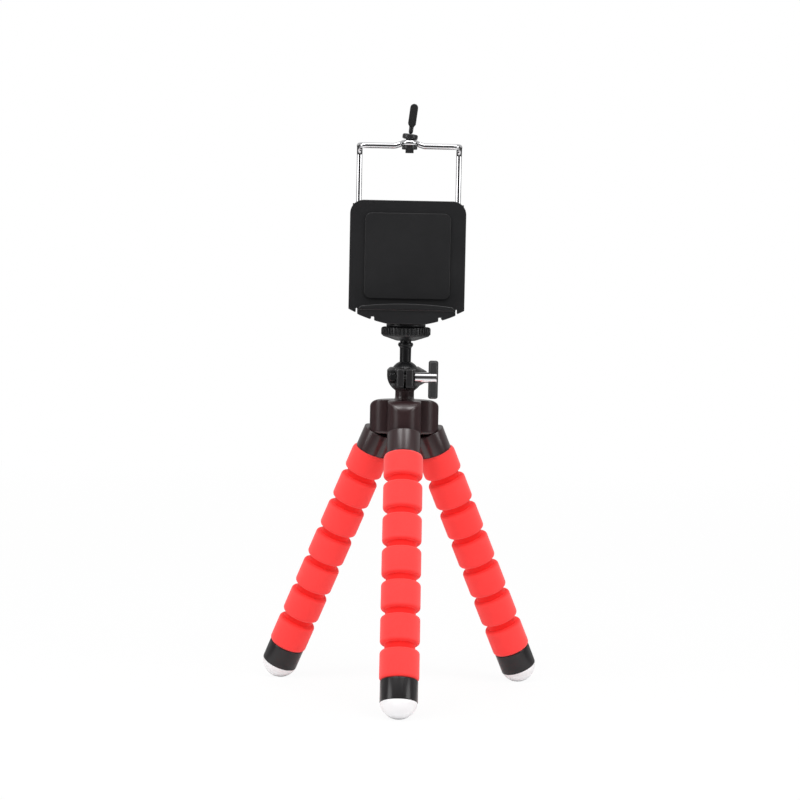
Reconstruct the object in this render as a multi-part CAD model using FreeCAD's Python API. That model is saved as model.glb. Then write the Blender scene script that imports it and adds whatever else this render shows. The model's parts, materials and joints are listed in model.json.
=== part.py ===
import FreeCAD
import Part
import math
import os
from FreeCAD import Rotation, Vector

# Small tabletop tripod: three flexible foam legs on a lobed hub, a ball head with a
# T-handled clamp screw, a quarter-inch screw with a knurled locking wheel, and a
# sprung device clamp with a bent wire jaw. Millimetres, +Z up, the front leg points
# along -Y. The origin is the centre of the footprint on the surface it stands on.

# Clearances
running_gap = 0.05       # radial play of a turning or sliding fit
slip_gap = 0.02          # play of a pressed or glued fit
face_gap = 0.1           # play between flat faces that move on each other
soft_gap = 0.3           # room kept round foam over its whole travel
edge_break = 0.3         # small chamfer on moulded and turned edges
cut_past = 1.0           # how far a cutting tool runs past the face it cuts

# Legs
leg_azimuths = {"front": 270.0, "right": 30.0, "left": 150.0}
leg_splay = 25.2         # degrees from the vertical
hip_radius = 9.0         # where the leg axis crosses the hip plane
segment_count = 7
segment_pitch = 15.0
first_segment_length = 12.4
last_segment_length = 14.4
foam_radius_top = 8.6
foam_radius_bottom = 8.55
foam_shoulder = 1.4
foam_rim = 0.3           # flat ring left between the socket and the shoulder
shoulder_step = 0.56     # height of the first facet of a shoulder
neck_radius = 6.6
neck_skirt = 4.6         # how far the neck reaches past its bend centre
groove_width = 2.8
foam_sides = 16
bend_angle = 18.0        # degrees at each groove
root_bend_angle = 15.0   # degrees sideways at the cap's mouth
socket_crown_angle = 14.0  # degrees from the axis where a barrel's hollow ends in a flat
wire_radius = 1.5        # armature
wire_end_gap = 0.35      # from a wire's end to its bend centre
wire_sides = 8
cap_start = 7.5          # along the leg axis from the hip
cap_length = 9.9
cap_radius = 7.4
cap_skirt = 5.2
cap_skirt_radius = 5.2
cap_stub_radius = 3.5
cap_stub_length = 6.0
ring_length = 9.6
ring_radius = 8.1
ring_web = 3.2
foot_sphere_radius = 8.1
foot_base_radius = 7.9
foot_skirt = 0.4         # straight part under the ring
foot_plug_radius = 6.4
foot_plug_length = 5.2
foot_flat = 0.25         # depth of the flat that meets the surface
foot_arc_angle = 55.0    # degrees down the dome to the arc's middle point

# Hub
lobe_radius = 7.35
lobe_offset = 9.24
lobe_top_round = 5.6     # rounding of the hub's outer top edge
lobe_bottom_round = 1.2
hub_rise = 7.7           # hub top above the hip plane
hub_drop = 7.5           # hub bottom below the hip plane
core_radius = 7.5
core_step = 0.6          # the hub's middle lies below its lobes
base_plate_radius = 5.2
base_plate_thickness = 1.6
base_screw_radius = 1.25
base_screw_head_radius = 2.3
base_screw_head_height = 1.0
base_screw_length = 8.0

# Ball head
ball_height = 18.7       # ball centre above the hip plane
ball_radius = 6.5
socket_radius = 8.0
socket_rim_height = 3.5  # above the ball centre
socket_round = 1.1
socket_bulge_angle = 35.0  # degrees below the ball centre to the arc's middle point
neck_post_radius = 4.2
neck_flare = 2.0
seat_plug_radius = 3.1
seat_plug_length = 3.2
slit_width = 0.8
slit_drop = 5.2          # below the ball centre
stop_hole_radius = 0.6
boss_reach = 9.7         # side boss behind the clamp screw
boss_root_radius = 6.4
boss_tip_radius = 2.4
ear_half_width = 4.4
ear_front = 12.0
ear_top = 3.0
ear_bottom = 5.0
clamp_axis_front = 9.3
clamp_axis_drop = 0.5    # below the ball centre
clamp_thread_radius = 1.25
clamp_shank_radius = 2.35
clamp_shank_length = 9.6
clamp_nut_flats = 5.0
clamp_nut_thickness = 2.2
clamp_thread_stand = 0.4   # screw's end beyond the nut
wing_width = 4.3
wing_depth = 3.4
wing_height = 16.9
wing_tongue = 1.7
wing_overhang = 0.5
wing_shift = 0.9         # middle of the handle below the screw's axis
wing_side_round = 1.45
wing_end_round = 1.0
ball_flat_drop = 5.2     # flat under the ball, below its centre
stud_radius = 2.5
stud_collar_height = 13.1  # collar's underside above the ball centre
stud_collar_radius = 3.35
stud_collar_thickness = 1.4
stud_collar_edge = 0.2
stud_neck = 1.3
screw_radius = 3.175     # quarter-inch camera thread
screw_length = 11.8
screw_point = 0.8        # chamfer at its end

# Locking wheel
wheel_radius = 11.0
wheel_rim_height = 4.0
wheel_cone_height = 2.2
wheel_cone_top_radius = 10.2
wheel_cone_bottom_radius = 4.0
wheel_ribs = 40
wheel_rib_depth = 0.45
wheel_lift = 0.8         # cone's underside above the stud's collar
insert_radius = 4.6
washer_radius = 8.7
washer_thickness = 1.3
washer_bore_gap = 0.4

# Device clamp, heights from the flat under its base
base_flat_half_width = 8.2
base_mid_half_width = 17.8
base_mid_rise = 2.6
tip_half_width = 25.8
tip_rise = 6.1
seat_rise = 5.3          # underside of the rubber seat pad
seat_pad_thickness = 1.0
jaw_inset = 4.2          # from the housing's side to the end of the front tiers
lip_inset = 1.6          # from there to the end of the lip and of the seat pad
jaw_back = 1.0           # front face of the housing
lip_inner = 10.4         # in front of the screw's axis
lip_thickness = 2.8
lip_step = 0.6
lip_rise = 9.0
lip_end_rise = 7.8
lip_end_chamfer = 1.3
lip_upper_tier = 6.2
lip_lower_tier = 4.0
rib_offset = 2.15
rib_width = 1.0
rib_depth = 0.6
rib_foot = 0.5
slot_inset = 3.5         # from the housing's side
slot_width = 0.8
slot_drop = 2.0
slot_top = 0.4
notch_offset = 14.9
notch_width = 1.6
notch_rise = 3.1
housing_depth = 11.6
housing_height = 54.6
housing_corner = 6.0
housing_front_wall = 1.6
housing_side_wall = 1.4
housing_top_wall = 1.8
cavity_floor_rise = 7.1
cover_thickness = 1.8
cover_ledge = 0.6
cover_chamfer = 0.4
cover_boss_radius = 2.4
cover_boss_offset = 8.0
cover_boss_drop = 4.6
cover_boss_root = 0.2    # sunk into the front wall
cover_hole_floor = 0.6   # left under a screw hole
cover_screw_radius = 1.0
cover_screw_head_radius = 1.9
cover_screw_head_height = 0.9
cover_screw_length = 6.0
nut_radius = 4.6
nut_length = 4.7
grip_pad_half_width = 19.0
grip_pad_height = 38.0
grip_pad_thickness = 0.8
grip_pad_rise = 11.0
grip_pad_corner = 3.0
pad_groove_width = 1.2
pad_groove_depth = 0.4

# Wire jaw
device_height = 70.9     # opening of the jaw at rest
jaw_close_travel = 16.0
jaw_open_travel = 14.0
rod_radius = 1.25
rod_side_room = 2.25     # from a leg's axis to the housing's inner side
rod_leg_back = 6.6
rod_bar_front = 2.5
rod_upper_bend = 4.0
rod_corner_bend = 3.0
rod_step_bend = 1.4
loop_half_width = 3.0
loop_depth = 6.0
loop_rise = 1.1
loop_bend_slack = 0.05   # keeps a straight bit between the loop's two bends
loop_approach = 6.5
crosshead_height = 6.0
crosshead_depth = 5.6
crosshead_socket = 5.0
crosshead_play = 0.3
spring_outer_radius = 2.0
spring_wire_radius = 0.3
spring_turns = 9
bumper_radius = 3.4
bumper_neck_radius = 1.7
bumper_drop = 0.4        # below the wire bars
bumper_toe_drop = 1.8
bumper_toe_width = 3.6
bumper_toe_root = 1.3    # its thickness at the plug
bumper_toe_tip = 0.5     # and at its end
bumper_toe_inset = 0.2   # behind the plug's front
bumper_toe_sink = 0.5    # into the plug
collar_edge = 0.4
collar_thickness = 2.2
collar_lift = 0.5
tab_lean_angle = 7.0     # degrees
tab_neck_radius = 1.0
tab_neck_length = 2.2    # above the point where it flexes
tab_width = 3.5
tab_depth = 3.0
tab_length = 10.1
tab_shoulder = 1.2
tab_root_share = 0.55    # of its half width, where the neck joins


# Positions along a leg's axis, measured from the hip
cap_end = cap_start + cap_length
first_groove = cap_end + first_segment_length
bend_centres = [cap_end] + [
    first_groove + segment_pitch * i for i in range(segment_count - 1)
]
foam_end = bend_centres[-1] + last_segment_length
ring_end = foam_end + ring_length
foot_centre = ring_end + foot_skirt - math.sqrt(foot_sphere_radius**2 - foot_base_radius**2)
splay = math.radians(leg_splay)
hip_height = foot_centre * math.cos(splay) + foot_sphere_radius - foot_flat

# The footprint's centre is the origin, so the post stands behind it
rear_share = math.sin(math.radians(leg_azimuths["right"]))
front_reach = hip_radius + foot_centre * math.sin(splay) + foot_sphere_radius
ring_edge = ring_radius * math.sqrt(1 - (rear_share * math.sin(splay)) ** 2)
rear_reach = rear_share * (hip_radius + ring_end * math.sin(splay)) + ring_edge
post_y = (front_reach - rear_reach) / 2

# Widths of the clamp, from the outside in
half_inside = tip_half_width - housing_side_wall
rod_leg_offset = half_inside - rod_side_room
jaw_half_width = tip_half_width - jaw_inset
lip_half_width = jaw_half_width - lip_inset
slot_offset = tip_half_width - slot_inset

# Heights up the post
hub_top = hip_height + hub_rise
hub_bottom = hip_height - hub_drop
ball_z = hip_height + ball_height
clamp_axis_z = ball_z - clamp_axis_drop
collar_z = ball_z + stud_collar_height
collar_top_z = collar_z + stud_collar_thickness
wheel_z = collar_top_z + wheel_lift
wheel_rim_z = wheel_z + wheel_cone_height
wheel_top_z = wheel_rim_z + wheel_rim_height
washer_top_z = wheel_top_z + face_gap / 2 + washer_thickness
base_z = washer_top_z + face_gap / 2
seat_z = base_z + seat_rise
pad_top_z = seat_z + seat_pad_thickness
cavity_floor_z = base_z + cavity_floor_rise
housing_top_z = base_z + housing_height
cavity_top_z = housing_top_z - housing_top_wall
bar_z = pad_top_z + device_height + rod_radius
loop_z = bar_z + loop_rise
loop_y = -rod_bar_front - loop_depth / 2
cover_y = jaw_back + housing_depth - cover_thickness
housing_back_y = jaw_back + housing_depth
crosshead_z = cavity_floor_z + jaw_close_travel + soft_gap
crosshead_top_z = crosshead_z + crosshead_height
boss_z = cavity_top_z - cover_boss_drop
tab_pivot_rise = collar_thickness + running_gap + tab_neck_radius


def ring_point(radius, angle, height):
    """A point on a circle about Z, with the angle in degrees."""
    a = math.radians(angle)
    return Vector(radius * math.cos(a), radius * math.sin(a), height)


def outline(start, steps):
    """Closed wire in the XZ plane. A step is an end point, or (point on an arc, end point)."""
    edges = []
    here = Vector(start[0], 0, start[1])
    first = here
    for step in list(steps) + [start]:
        if isinstance(step[0], tuple):
            middle, end = (Vector(p[0], 0, p[1]) for p in step)
            edges.append(Part.Arc(here, middle, end).toShape())
        else:
            end = Vector(step[0], 0, step[1])
            if end.distanceToPoint(here) > 1e-6:
                edges.append(Part.LineSegment(here, end).toShape())
        here = end
    if here.distanceToPoint(first) > 1e-6:
        raise ValueError("the outline does not close")
    return Part.Wire(edges)


def turned(start, *steps):
    """Solid of revolution about Z from a half section given as (radius, height) points."""
    return Part.Face(outline(start, steps)).revolve(Vector(0, 0, 0), Vector(0, 0, 1), 360)


def slab(start, steps, y_front, y_back):
    """An XZ outline extruded along Y from its front to its back."""
    face = Part.Face(outline(start, steps))
    face.translate(Vector(0, y_front, 0))
    return face.extrude(Vector(0, y_back - y_front, 0))


def box(x0, x1, y0, y1, z0, z1):
    """A box between two corners."""
    return Part.makeBox(x1 - x0, y1 - y0, z1 - z0, Vector(x0, y0, z0))


def faceted(stations, sides):
    """A soft solid as a ruled loft through regular polygons at (radius, distance down)."""
    wires = []
    for radius, down in stations:
        corners = [ring_point(radius, 360.0 * (i + 0.5) / sides, -down) for i in range(sides)]
        wires.append(Part.makePolygon(corners + corners[:1]))
    return Part.makeLoft(wires, True, True)


def bent_rod(points, bends, radius):
    """A round rod along straight runs joined by tangent arcs at the inner points."""
    pieces = []
    here = points[0]
    for i in range(1, len(points)):
        if i == len(points) - 1:
            pieces.append((here, points[i]))
            break
        before = (points[i] - points[i - 1]).normalize()
        after = (points[i + 1] - points[i]).normalize()
        turn = before.getAngle(after)
        setback = bends[i - 1] * math.tan(turn / 2)
        arc_start = points[i] - before * setback
        arc_end = points[i] + after * setback
        inward = (after - before).normalize()
        reach = bends[i - 1] / math.cos(turn / 2) - bends[i - 1]
        pieces.append((here, arc_start))
        pieces.append((arc_start, points[i] + inward * reach, arc_end))
        here = arc_end
    edges = []
    for piece in pieces:
        if len(piece) == 3:
            edges.append(Part.Arc(*piece).toShape())
        elif piece[0].distanceToPoint(piece[1]) > 1e-6:
            edges.append(Part.LineSegment(*piece).toShape())
    path = Part.Wire(edges)
    section = Part.Wire(Part.makeCircle(radius, points[0], points[1] - points[0]))
    return path.makePipeShell([section], True, False)


def on_leg(shape, azimuth):
    """Place a piece made along the leg's axis, hip at the origin and foot downwards."""
    placed = shape.copy()
    placed.rotate(Vector(0, 0, 0), Vector(1, 0, 0), -leg_splay)
    placed.translate(Vector(0, -hip_radius, hip_height))
    placed.rotate(Vector(0, 0, 0), Vector(0, 0, 1), azimuth - leg_azimuths["front"])
    return placed


# Legs

def swing_cone(centre, depth, limit):
    """Room in a neck for the next wire to swing about the bend centre."""
    flat_share = math.cos(math.pi / foam_sides)
    start = (math.hypot(wire_radius, wire_end_gap) + soft_gap) / flat_share
    tilt = math.radians(limit)
    end = (depth * math.tan(tilt) + wire_radius / math.cos(tilt) + soft_gap) / flat_share
    overlap = 2 * wire_end_gap
    return faceted([(start, centre - overlap), (start, centre), (end, centre + depth)], foam_sides)


def bend_socket(centre, reach, mouth, sides, bands):
    """Hollow that clears a neck of the given reach at every bend, open from the mouth up."""
    first = math.degrees(math.acos(mouth / reach))
    band = math.radians((first - socket_crown_angle) / bands)
    radius = (reach + soft_gap) / (math.cos(math.pi / sides) * math.cos(band / 2))
    stations = [(radius, centre)]
    for i in range(bands + 1):
        angle = math.radians(first) - band * i
        stations.append((radius * math.sin(angle), centre + radius * math.cos(angle)))
    return faceted(stations, sides), radius


def leg_segment(index):
    """One foam barrel and its length of armature wire, as two solids."""
    first = index == 0
    last = index == segment_count - 1
    top = bend_centres[index]
    bottom = foam_end if last else bend_centres[index + 1]
    share = index / (segment_count - 1)
    radius = foam_radius_top + (foam_radius_bottom - foam_radius_top) * share
    half_groove = groove_width / 2
    mouth = soft_gap if first else half_groove
    reach = cap_radius + running_gap if first else math.hypot(neck_radius, half_groove)
    socket, socket_radius_here = bend_socket(
        top, reach, mouth, foam_sides, 3 if first else 2
    )
    rim = min(socket_radius_here + foam_rim, radius - foam_rim / 2)
    soft_corner = 0.35 * (radius - rim)
    end_down = bottom if last else bottom - half_groove
    stations = [
        (rim, top + mouth),
        (radius - soft_corner, top + mouth + shoulder_step),
        (radius, top + mouth + foam_shoulder),
        (radius, end_down - foam_shoulder),
        (radius - soft_corner, end_down - shoulder_step),
        (rim, end_down),
    ]
    foam = faceted(stations, foam_sides)
    wire_end = foam_end + ring_web - wire_end_gap if last else bottom - wire_end_gap
    if not last:
        neck_end = math.sqrt(neck_radius**2 - neck_skirt**2)
        neck = faceted(
            [
                (neck_radius, end_down - foam_shoulder),
                (neck_radius, bottom + half_groove),
                (neck_end, bottom + neck_skirt),
            ],
            foam_sides,
        )
        foam = foam.fuse(neck).cut(swing_cone(bottom, neck_skirt, bend_angle))
    bore = faceted(
        [(wire_radius + slip_gap, top + reach), (wire_radius + slip_gap, foam_end)], wire_sides
    )
    wire = faceted([(wire_radius, top + wire_end_gap), (wire_radius, wire_end)], wire_sides)
    foam = foam.cut(socket).cut(bore).removeSplitter()
    return Part.Compound(foam.Solids + [wire])


def leg_cap():
    """Moulded cap that plugs into the hub and carries the top of the foam."""
    tilt = math.radians(root_bend_angle)
    wire_bore = wire_radius + slip_gap
    cone_start = wire_radius + soft_gap
    cone_end = cap_skirt * math.tan(tilt) + wire_radius / math.cos(tilt) + soft_gap
    stub_top = cap_start - cap_stub_length
    return turned(
        (wire_bore, -stub_top),
        (cap_stub_radius, -stub_top),
        (cap_stub_radius, -cap_start),
        (cap_radius - edge_break, -cap_start),
        (cap_radius, -cap_start - edge_break),
        (cap_radius, -cap_end),
        (cap_skirt_radius, -cap_end - cap_skirt),
        (cone_end, -cap_end - cap_skirt),
        (cone_start, -cap_end),
        (cone_start, -cap_end + 2 * wire_end_gap),
        (wire_bore, -cap_end + 2 * wire_end_gap),
    )


def armature_root():
    """The top of a leg's wire, from inside the hub to the cap's mouth."""
    start = cap_start - cap_stub_length + slip_gap
    return faceted([(wire_radius, start), (wire_radius, cap_end - wire_end_gap)], wire_sides)


def end_ring():
    """Black ring at the leg's end, with a web for the wire and a socket for the foot."""
    wire_bore = wire_radius + slip_gap
    web = foam_end + ring_web
    socket = foot_plug_radius + slip_gap
    return turned(
        (wire_bore, -foam_end),
        (ring_radius, -foam_end),
        (ring_radius, -ring_end),
        (socket, -ring_end),
        (socket, -web),
        (wire_bore, -web),
    )


def rubber_foot(azimuth):
    """Domed foot with its plug in the ring, cut flat where it meets the surface."""
    tip = foot_centre + foot_sphere_radius
    lift = math.radians(foot_arc_angle)
    on_dome = (foot_sphere_radius * math.cos(lift), -foot_centre - foot_sphere_radius * math.sin(lift))
    plug_top = ring_end - foot_plug_length
    foot = turned(
        (0, -plug_top),
        (foot_plug_radius, -plug_top),
        (foot_plug_radius, -ring_end),
        (foot_base_radius, -ring_end),
        (foot_base_radius, -ring_end - foot_skirt),
        (on_dome, (0, -tip)),
    )
    foot = on_leg(foot, azimuth)
    reach = hip_radius + ring_end
    return foot.cut(box(-reach, reach, -reach, reach, -foot_sphere_radius, 0))


# Hub and ball head

def lobe(azimuth):
    """One lobe of the hub, its top turned round about the hub's axis, cut square for the cap."""
    outer = lobe_offset + lobe_radius
    body = Part.makeCylinder(lobe_radius, hub_top - hub_bottom, Vector(lobe_offset, 0, hub_bottom))
    foot_edge = [e for e in body.Edges if e.Closed and e.BoundBox.ZMax < hub_bottom + face_gap]
    body = body.makeFillet(lobe_bottom_round, foot_edge)
    diagonal = lobe_top_round * (1 - math.sqrt(0.5))
    crown = turned(
        (0, hub_bottom),
        (outer, hub_bottom),
        (outer, hub_top - lobe_top_round),
        ((outer - diagonal, hub_top - diagonal), (outer - lobe_top_round, hub_top)),
        (0, hub_top),
    )
    body = body.common(crown)
    body.rotate(Vector(0, 0, 0), Vector(0, 0, 1), azimuth)
    seat = Part.makeCylinder(3 * cap_radius, 3 * cap_radius, Vector(0, 0, -cap_start - 3 * cap_radius))
    return body.cut(on_leg(seat, azimuth))


def hub():
    """Lobed hub with its post, split ball socket and clamp ears in one moulding."""
    inner = ball_radius + running_gap
    rim_z = ball_z + socket_rim_height
    rim_inner = math.sqrt(inner**2 - socket_rim_height**2)
    post_meet = ball_z - math.sqrt(socket_radius**2 - neck_post_radius**2)
    bulge = math.radians(-socket_bulge_angle)
    outer_mid = (socket_radius * math.cos(bulge), ball_z + socket_radius * math.sin(bulge))
    core_top = hub_top - core_step
    flare_mid = 1 - math.sqrt(0.5)
    post = turned(
        (0, core_top - neck_flare),
        (neck_post_radius + neck_flare, core_top - neck_flare),
        (neck_post_radius + neck_flare, core_top),
        (
            (neck_post_radius + neck_flare * flare_mid, core_top + neck_flare * flare_mid),
            (neck_post_radius, core_top + neck_flare),
        ),
        (neck_post_radius, post_meet),
        (outer_mid, (socket_radius, ball_z)),
        (socket_radius, rim_z - socket_round),
        (socket_radius - socket_round, rim_z),
        (0, rim_z),
    )
    ears = box(
        -ear_half_width, ear_half_width, -ear_front, -ball_radius / 2,
        ball_z - ear_bottom, ball_z + ear_top,
    )
    upright = [
        e for e in ears.Edges
        if abs(e.BoundBox.YMax + ear_front) < 0.01 and e.BoundBox.ZLength > 1
    ]
    ears = ears.makeFillet(2 * socket_round, upright)
    side_boss = Part.makeCone(
        boss_root_radius, boss_tip_radius, boss_reach - clamp_shank_radius,
        Vector(clamp_shank_radius, 0, clamp_axis_z), Vector(1, 0, 0),
    )
    body = Part.makeCylinder(core_radius, core_top - hub_bottom, Vector(0, 0, hub_bottom))
    body = body.fuse([lobe(a) for a in leg_azimuths.values()] + [post, ears, side_boss])

    cavity = Part.makeSphere(inner, Vector(0, 0, ball_z))
    mouth = Part.makeCylinder(rim_inner, socket_rim_height, Vector(0, 0, rim_z - slip_gap))
    plug_bore = Part.makeCylinder(
        seat_plug_radius + running_gap, ball_z - seat_plug_bottom(), Vector(0, 0, seat_plug_bottom())
    )
    slit_front = ear_front + cut_past
    slit = box(
        -slit_width / 2, slit_width / 2, -slit_front, 0, ball_z - slit_drop, rim_z + cut_past
    )
    stop_hole = Part.makeCylinder(
        stop_hole_radius, slit_front, Vector(0, -slit_front, ball_z - slit_drop), Vector(0, 1, 0)
    )
    screw_hole = Part.makeCylinder(
        clamp_thread_radius + running_gap, 4 * ear_half_width,
        Vector(-2 * ear_half_width, -clamp_axis_front, clamp_axis_z), Vector(1, 0, 0),
    )
    plate_pocket = Part.makeCylinder(
        base_plate_radius + slip_gap, base_plate_thickness, Vector(0, 0, hub_bottom)
    )
    screw_pilot = Part.makeCylinder(
        base_screw_radius + slip_gap, base_screw_length + slip_gap, Vector(0, 0, hub_bottom)
    )
    cuts = [cavity, mouth, plug_bore, slit, stop_hole, screw_hole, plate_pocket, screw_pilot]
    stub_bore = Part.makeCylinder(
        cap_stub_radius + slip_gap, cap_stub_length + cut_past,
        Vector(0, 0, -cap_start - cut_past + slip_gap),
    )
    cuts += [on_leg(stub_bore, a) for a in leg_azimuths.values()]
    return body.cut(cuts)


def seat_plug_bottom():
    """Height of the underside of the nylon plug that the ball sits on."""
    dish = ball_z - math.sqrt((ball_radius + slip_gap) ** 2 - seat_plug_radius**2)
    return dish - seat_plug_length


def base_plate():
    """Round plate under the hub, countersunk for its screw."""
    plate = Part.makeCylinder(base_plate_radius, base_plate_thickness - slip_gap, Vector(0, 0, hub_bottom))
    head = Part.makeCylinder(
        base_screw_head_radius + slip_gap, base_screw_head_height, Vector(0, 0, hub_bottom)
    )
    shank = Part.makeCylinder(
        base_screw_radius + slip_gap, base_plate_thickness, Vector(0, 0, hub_bottom)
    )
    return plate.cut([head, shank])


def base_screw():
    """Screw that holds the base plate."""
    head = Part.makeCylinder(
        base_screw_head_radius, base_screw_head_height - slip_gap, Vector(0, 0, hub_bottom)
    )
    shank = Part.makeCylinder(base_screw_radius, base_screw_length, Vector(0, 0, hub_bottom))
    return head.fuse(shank)


def ball_seat():
    """Nylon plug with a dished top, which turns under the ball."""
    bottom = seat_plug_bottom() + slip_gap
    dish = Part.makeSphere(ball_radius + slip_gap, Vector(0, 0, ball_z))
    plug = Part.makeCylinder(seat_plug_radius, seat_plug_length + ball_radius / 2, Vector(0, 0, bottom))
    return plug.cut(dish).Solids[0]


def ball_stud():
    """Ball, stem, collar and the short neck under the camera thread."""
    stem_meet = ball_z + math.sqrt(ball_radius**2 - stud_radius**2)
    flat = ball_z - ball_flat_drop
    flat_radius = math.sqrt(ball_radius**2 - ball_flat_drop**2)
    return turned(
        (0, flat),
        (flat_radius, flat),
        ((ball_radius, ball_z), (stud_radius, stem_meet)),
        (stud_radius, collar_z),
        (stud_collar_radius, collar_z + stud_collar_edge),
        (stud_collar_radius, collar_top_z - stud_collar_edge),
        (stud_radius, collar_top_z),
        (stud_radius, collar_top_z + stud_neck),
        (0, collar_top_z + stud_neck),
    )


def camera_screw():
    """Quarter-inch screw from the stud's neck up into the clamp."""
    bottom = collar_top_z + stud_neck
    top = bottom + screw_length
    return turned(
        (0, bottom),
        (screw_radius, bottom),
        (screw_radius, top - screw_point),
        (screw_radius - screw_point, top),
        (0, top),
    )


def along_x(shape):
    """Turn a piece made along Z so that it lies along X on the clamp screw's axis."""
    shape.rotate(Vector(0, 0, 0), Vector(0, 1, 0), 90)
    shape.translate(Vector(0, -clamp_axis_front, clamp_axis_z))
    return shape


def clamp_screw():
    """Bright screw with a smooth shank, slotted at its end for the T handle."""
    shank_start = ear_half_width + face_gap
    shank_end = shank_start + clamp_shank_length
    thread_end = -ear_half_width - clamp_nut_thickness - clamp_thread_stand
    screw = turned(
        (0, thread_end),
        (clamp_thread_radius, thread_end),
        (clamp_thread_radius, shank_start),
        (clamp_shank_radius, shank_start),
        (clamp_shank_radius, shank_end - edge_break),
        (clamp_shank_radius - edge_break, shank_end),
        (0, shank_end),
    )
    screw = along_x(screw)
    slot = box(
        wing_start(), shank_end + cut_past,
        -clamp_axis_front - wing_tongue / 2 - slip_gap, -clamp_axis_front + wing_tongue / 2 + slip_gap,
        clamp_axis_z - 2 * clamp_shank_radius, clamp_axis_z + 2 * clamp_shank_radius,
    )
    return screw.cut(slot)


def wing_start():
    """Where the T handle begins along the clamp screw."""
    return ear_half_width + face_gap + clamp_shank_length + wing_overhang - wing_width


def clamp_handle():
    """T handle: two rounded wings joined by a tongue through the slotted screw."""
    x0 = wing_start()
    z0 = clamp_axis_z - wing_shift - wing_height / 2
    bar = box(
        x0, x0 + wing_width, -clamp_axis_front - wing_depth / 2, -clamp_axis_front + wing_depth / 2,
        z0, z0 + wing_height,
    )
    bar = bar.makeFillet(wing_side_round, [e for e in bar.Edges if e.BoundBox.ZLength > wing_depth])
    bar = bar.makeFillet(wing_end_round, [e for e in bar.Edges if e.BoundBox.ZLength < face_gap])
    window = Part.makeCylinder(
        clamp_shank_radius + slip_gap, 2 * wing_width,
        Vector(x0 - cut_past, -clamp_axis_front, clamp_axis_z), Vector(1, 0, 0),
    )
    reach = clamp_shank_radius + 2 * edge_break
    tongue = box(
        x0 + slip_gap, x0 + wing_width,
        -clamp_axis_front - wing_tongue / 2, -clamp_axis_front + wing_tongue / 2,
        clamp_axis_z - reach, clamp_axis_z + reach,
    )
    return bar.cut(window).fuse(tongue).removeSplitter()


def hexagon(flats, height):
    """A hexagonal prism about Z from the origin up."""
    radius = flats / math.sqrt(3)
    corners = [ring_point(radius, 60 * i, 0) for i in range(6)]
    return Part.Face(Part.makePolygon(corners + corners[:1])).extrude(Vector(0, 0, height))


def clamp_nut():
    """Nut on the far ear, which the clamp screw draws in."""
    nut = hexagon(clamp_nut_flats, clamp_nut_thickness)
    nut = nut.cut(Part.makeCylinder(clamp_thread_radius + running_gap, clamp_nut_thickness))
    nut.translate(Vector(0, 0, -ear_half_width - clamp_nut_thickness))
    return along_x(nut)


# Locking wheel

def locking_wheel():
    """Knurled wheel with a coned underside, bored for its brass insert."""
    count = 2 * wheel_ribs
    corners = []
    for i in range(count):
        radius = wheel_radius if i % 2 else wheel_radius - wheel_rib_depth
        corners.append(ring_point(radius, 360.0 * i / count, wheel_rim_z))
    rim = Part.Face(Part.makePolygon(corners + corners[:1])).extrude(Vector(0, 0, wheel_rim_height))
    cone = Part.makeCone(
        wheel_cone_bottom_radius, wheel_cone_top_radius, wheel_cone_height, Vector(0, 0, wheel_z)
    )
    bore = Part.makeCylinder(
        screw_radius + running_gap, wheel_cone_height, Vector(0, 0, wheel_z)
    )
    insert_bore = Part.makeCylinder(
        insert_radius + slip_gap, wheel_rim_height, Vector(0, 0, wheel_rim_z)
    )
    return rim.fuse(cone).cut([bore, insert_bore])


def wheel_insert():
    """Brass insert in the wheel that runs on the camera thread."""
    height = wheel_rim_height
    body = Part.makeCylinder(insert_radius, height, Vector(0, 0, wheel_rim_z))
    return body.cut(Part.makeCylinder(screw_radius + running_gap, height, Vector(0, 0, wheel_rim_z)))


def wheel_washer():
    """Friction washer between the wheel and the clamp."""
    bottom = wheel_top_z + face_gap / 2
    body = Part.makeCylinder(washer_radius, washer_thickness, Vector(0, 0, bottom))
    bore = Part.makeCylinder(screw_radius + washer_bore_gap, washer_thickness, Vector(0, 0, bottom))
    return body.cut(bore)


# Device clamp

def boat_steps(half_width, top):
    """Steps of the clamp's curved underside, from its left end at the given height to its right."""
    mid = (base_mid_half_width, base_z + base_mid_rise)
    tip = (tip_half_width, base_z + tip_rise)
    flat = (base_flat_half_width, base_z)
    return [
        ((-mid[0], mid[1]), (-flat[0], flat[1])),
        flat,
        (mid, tip),
        (half_width, top),
    ]


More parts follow.
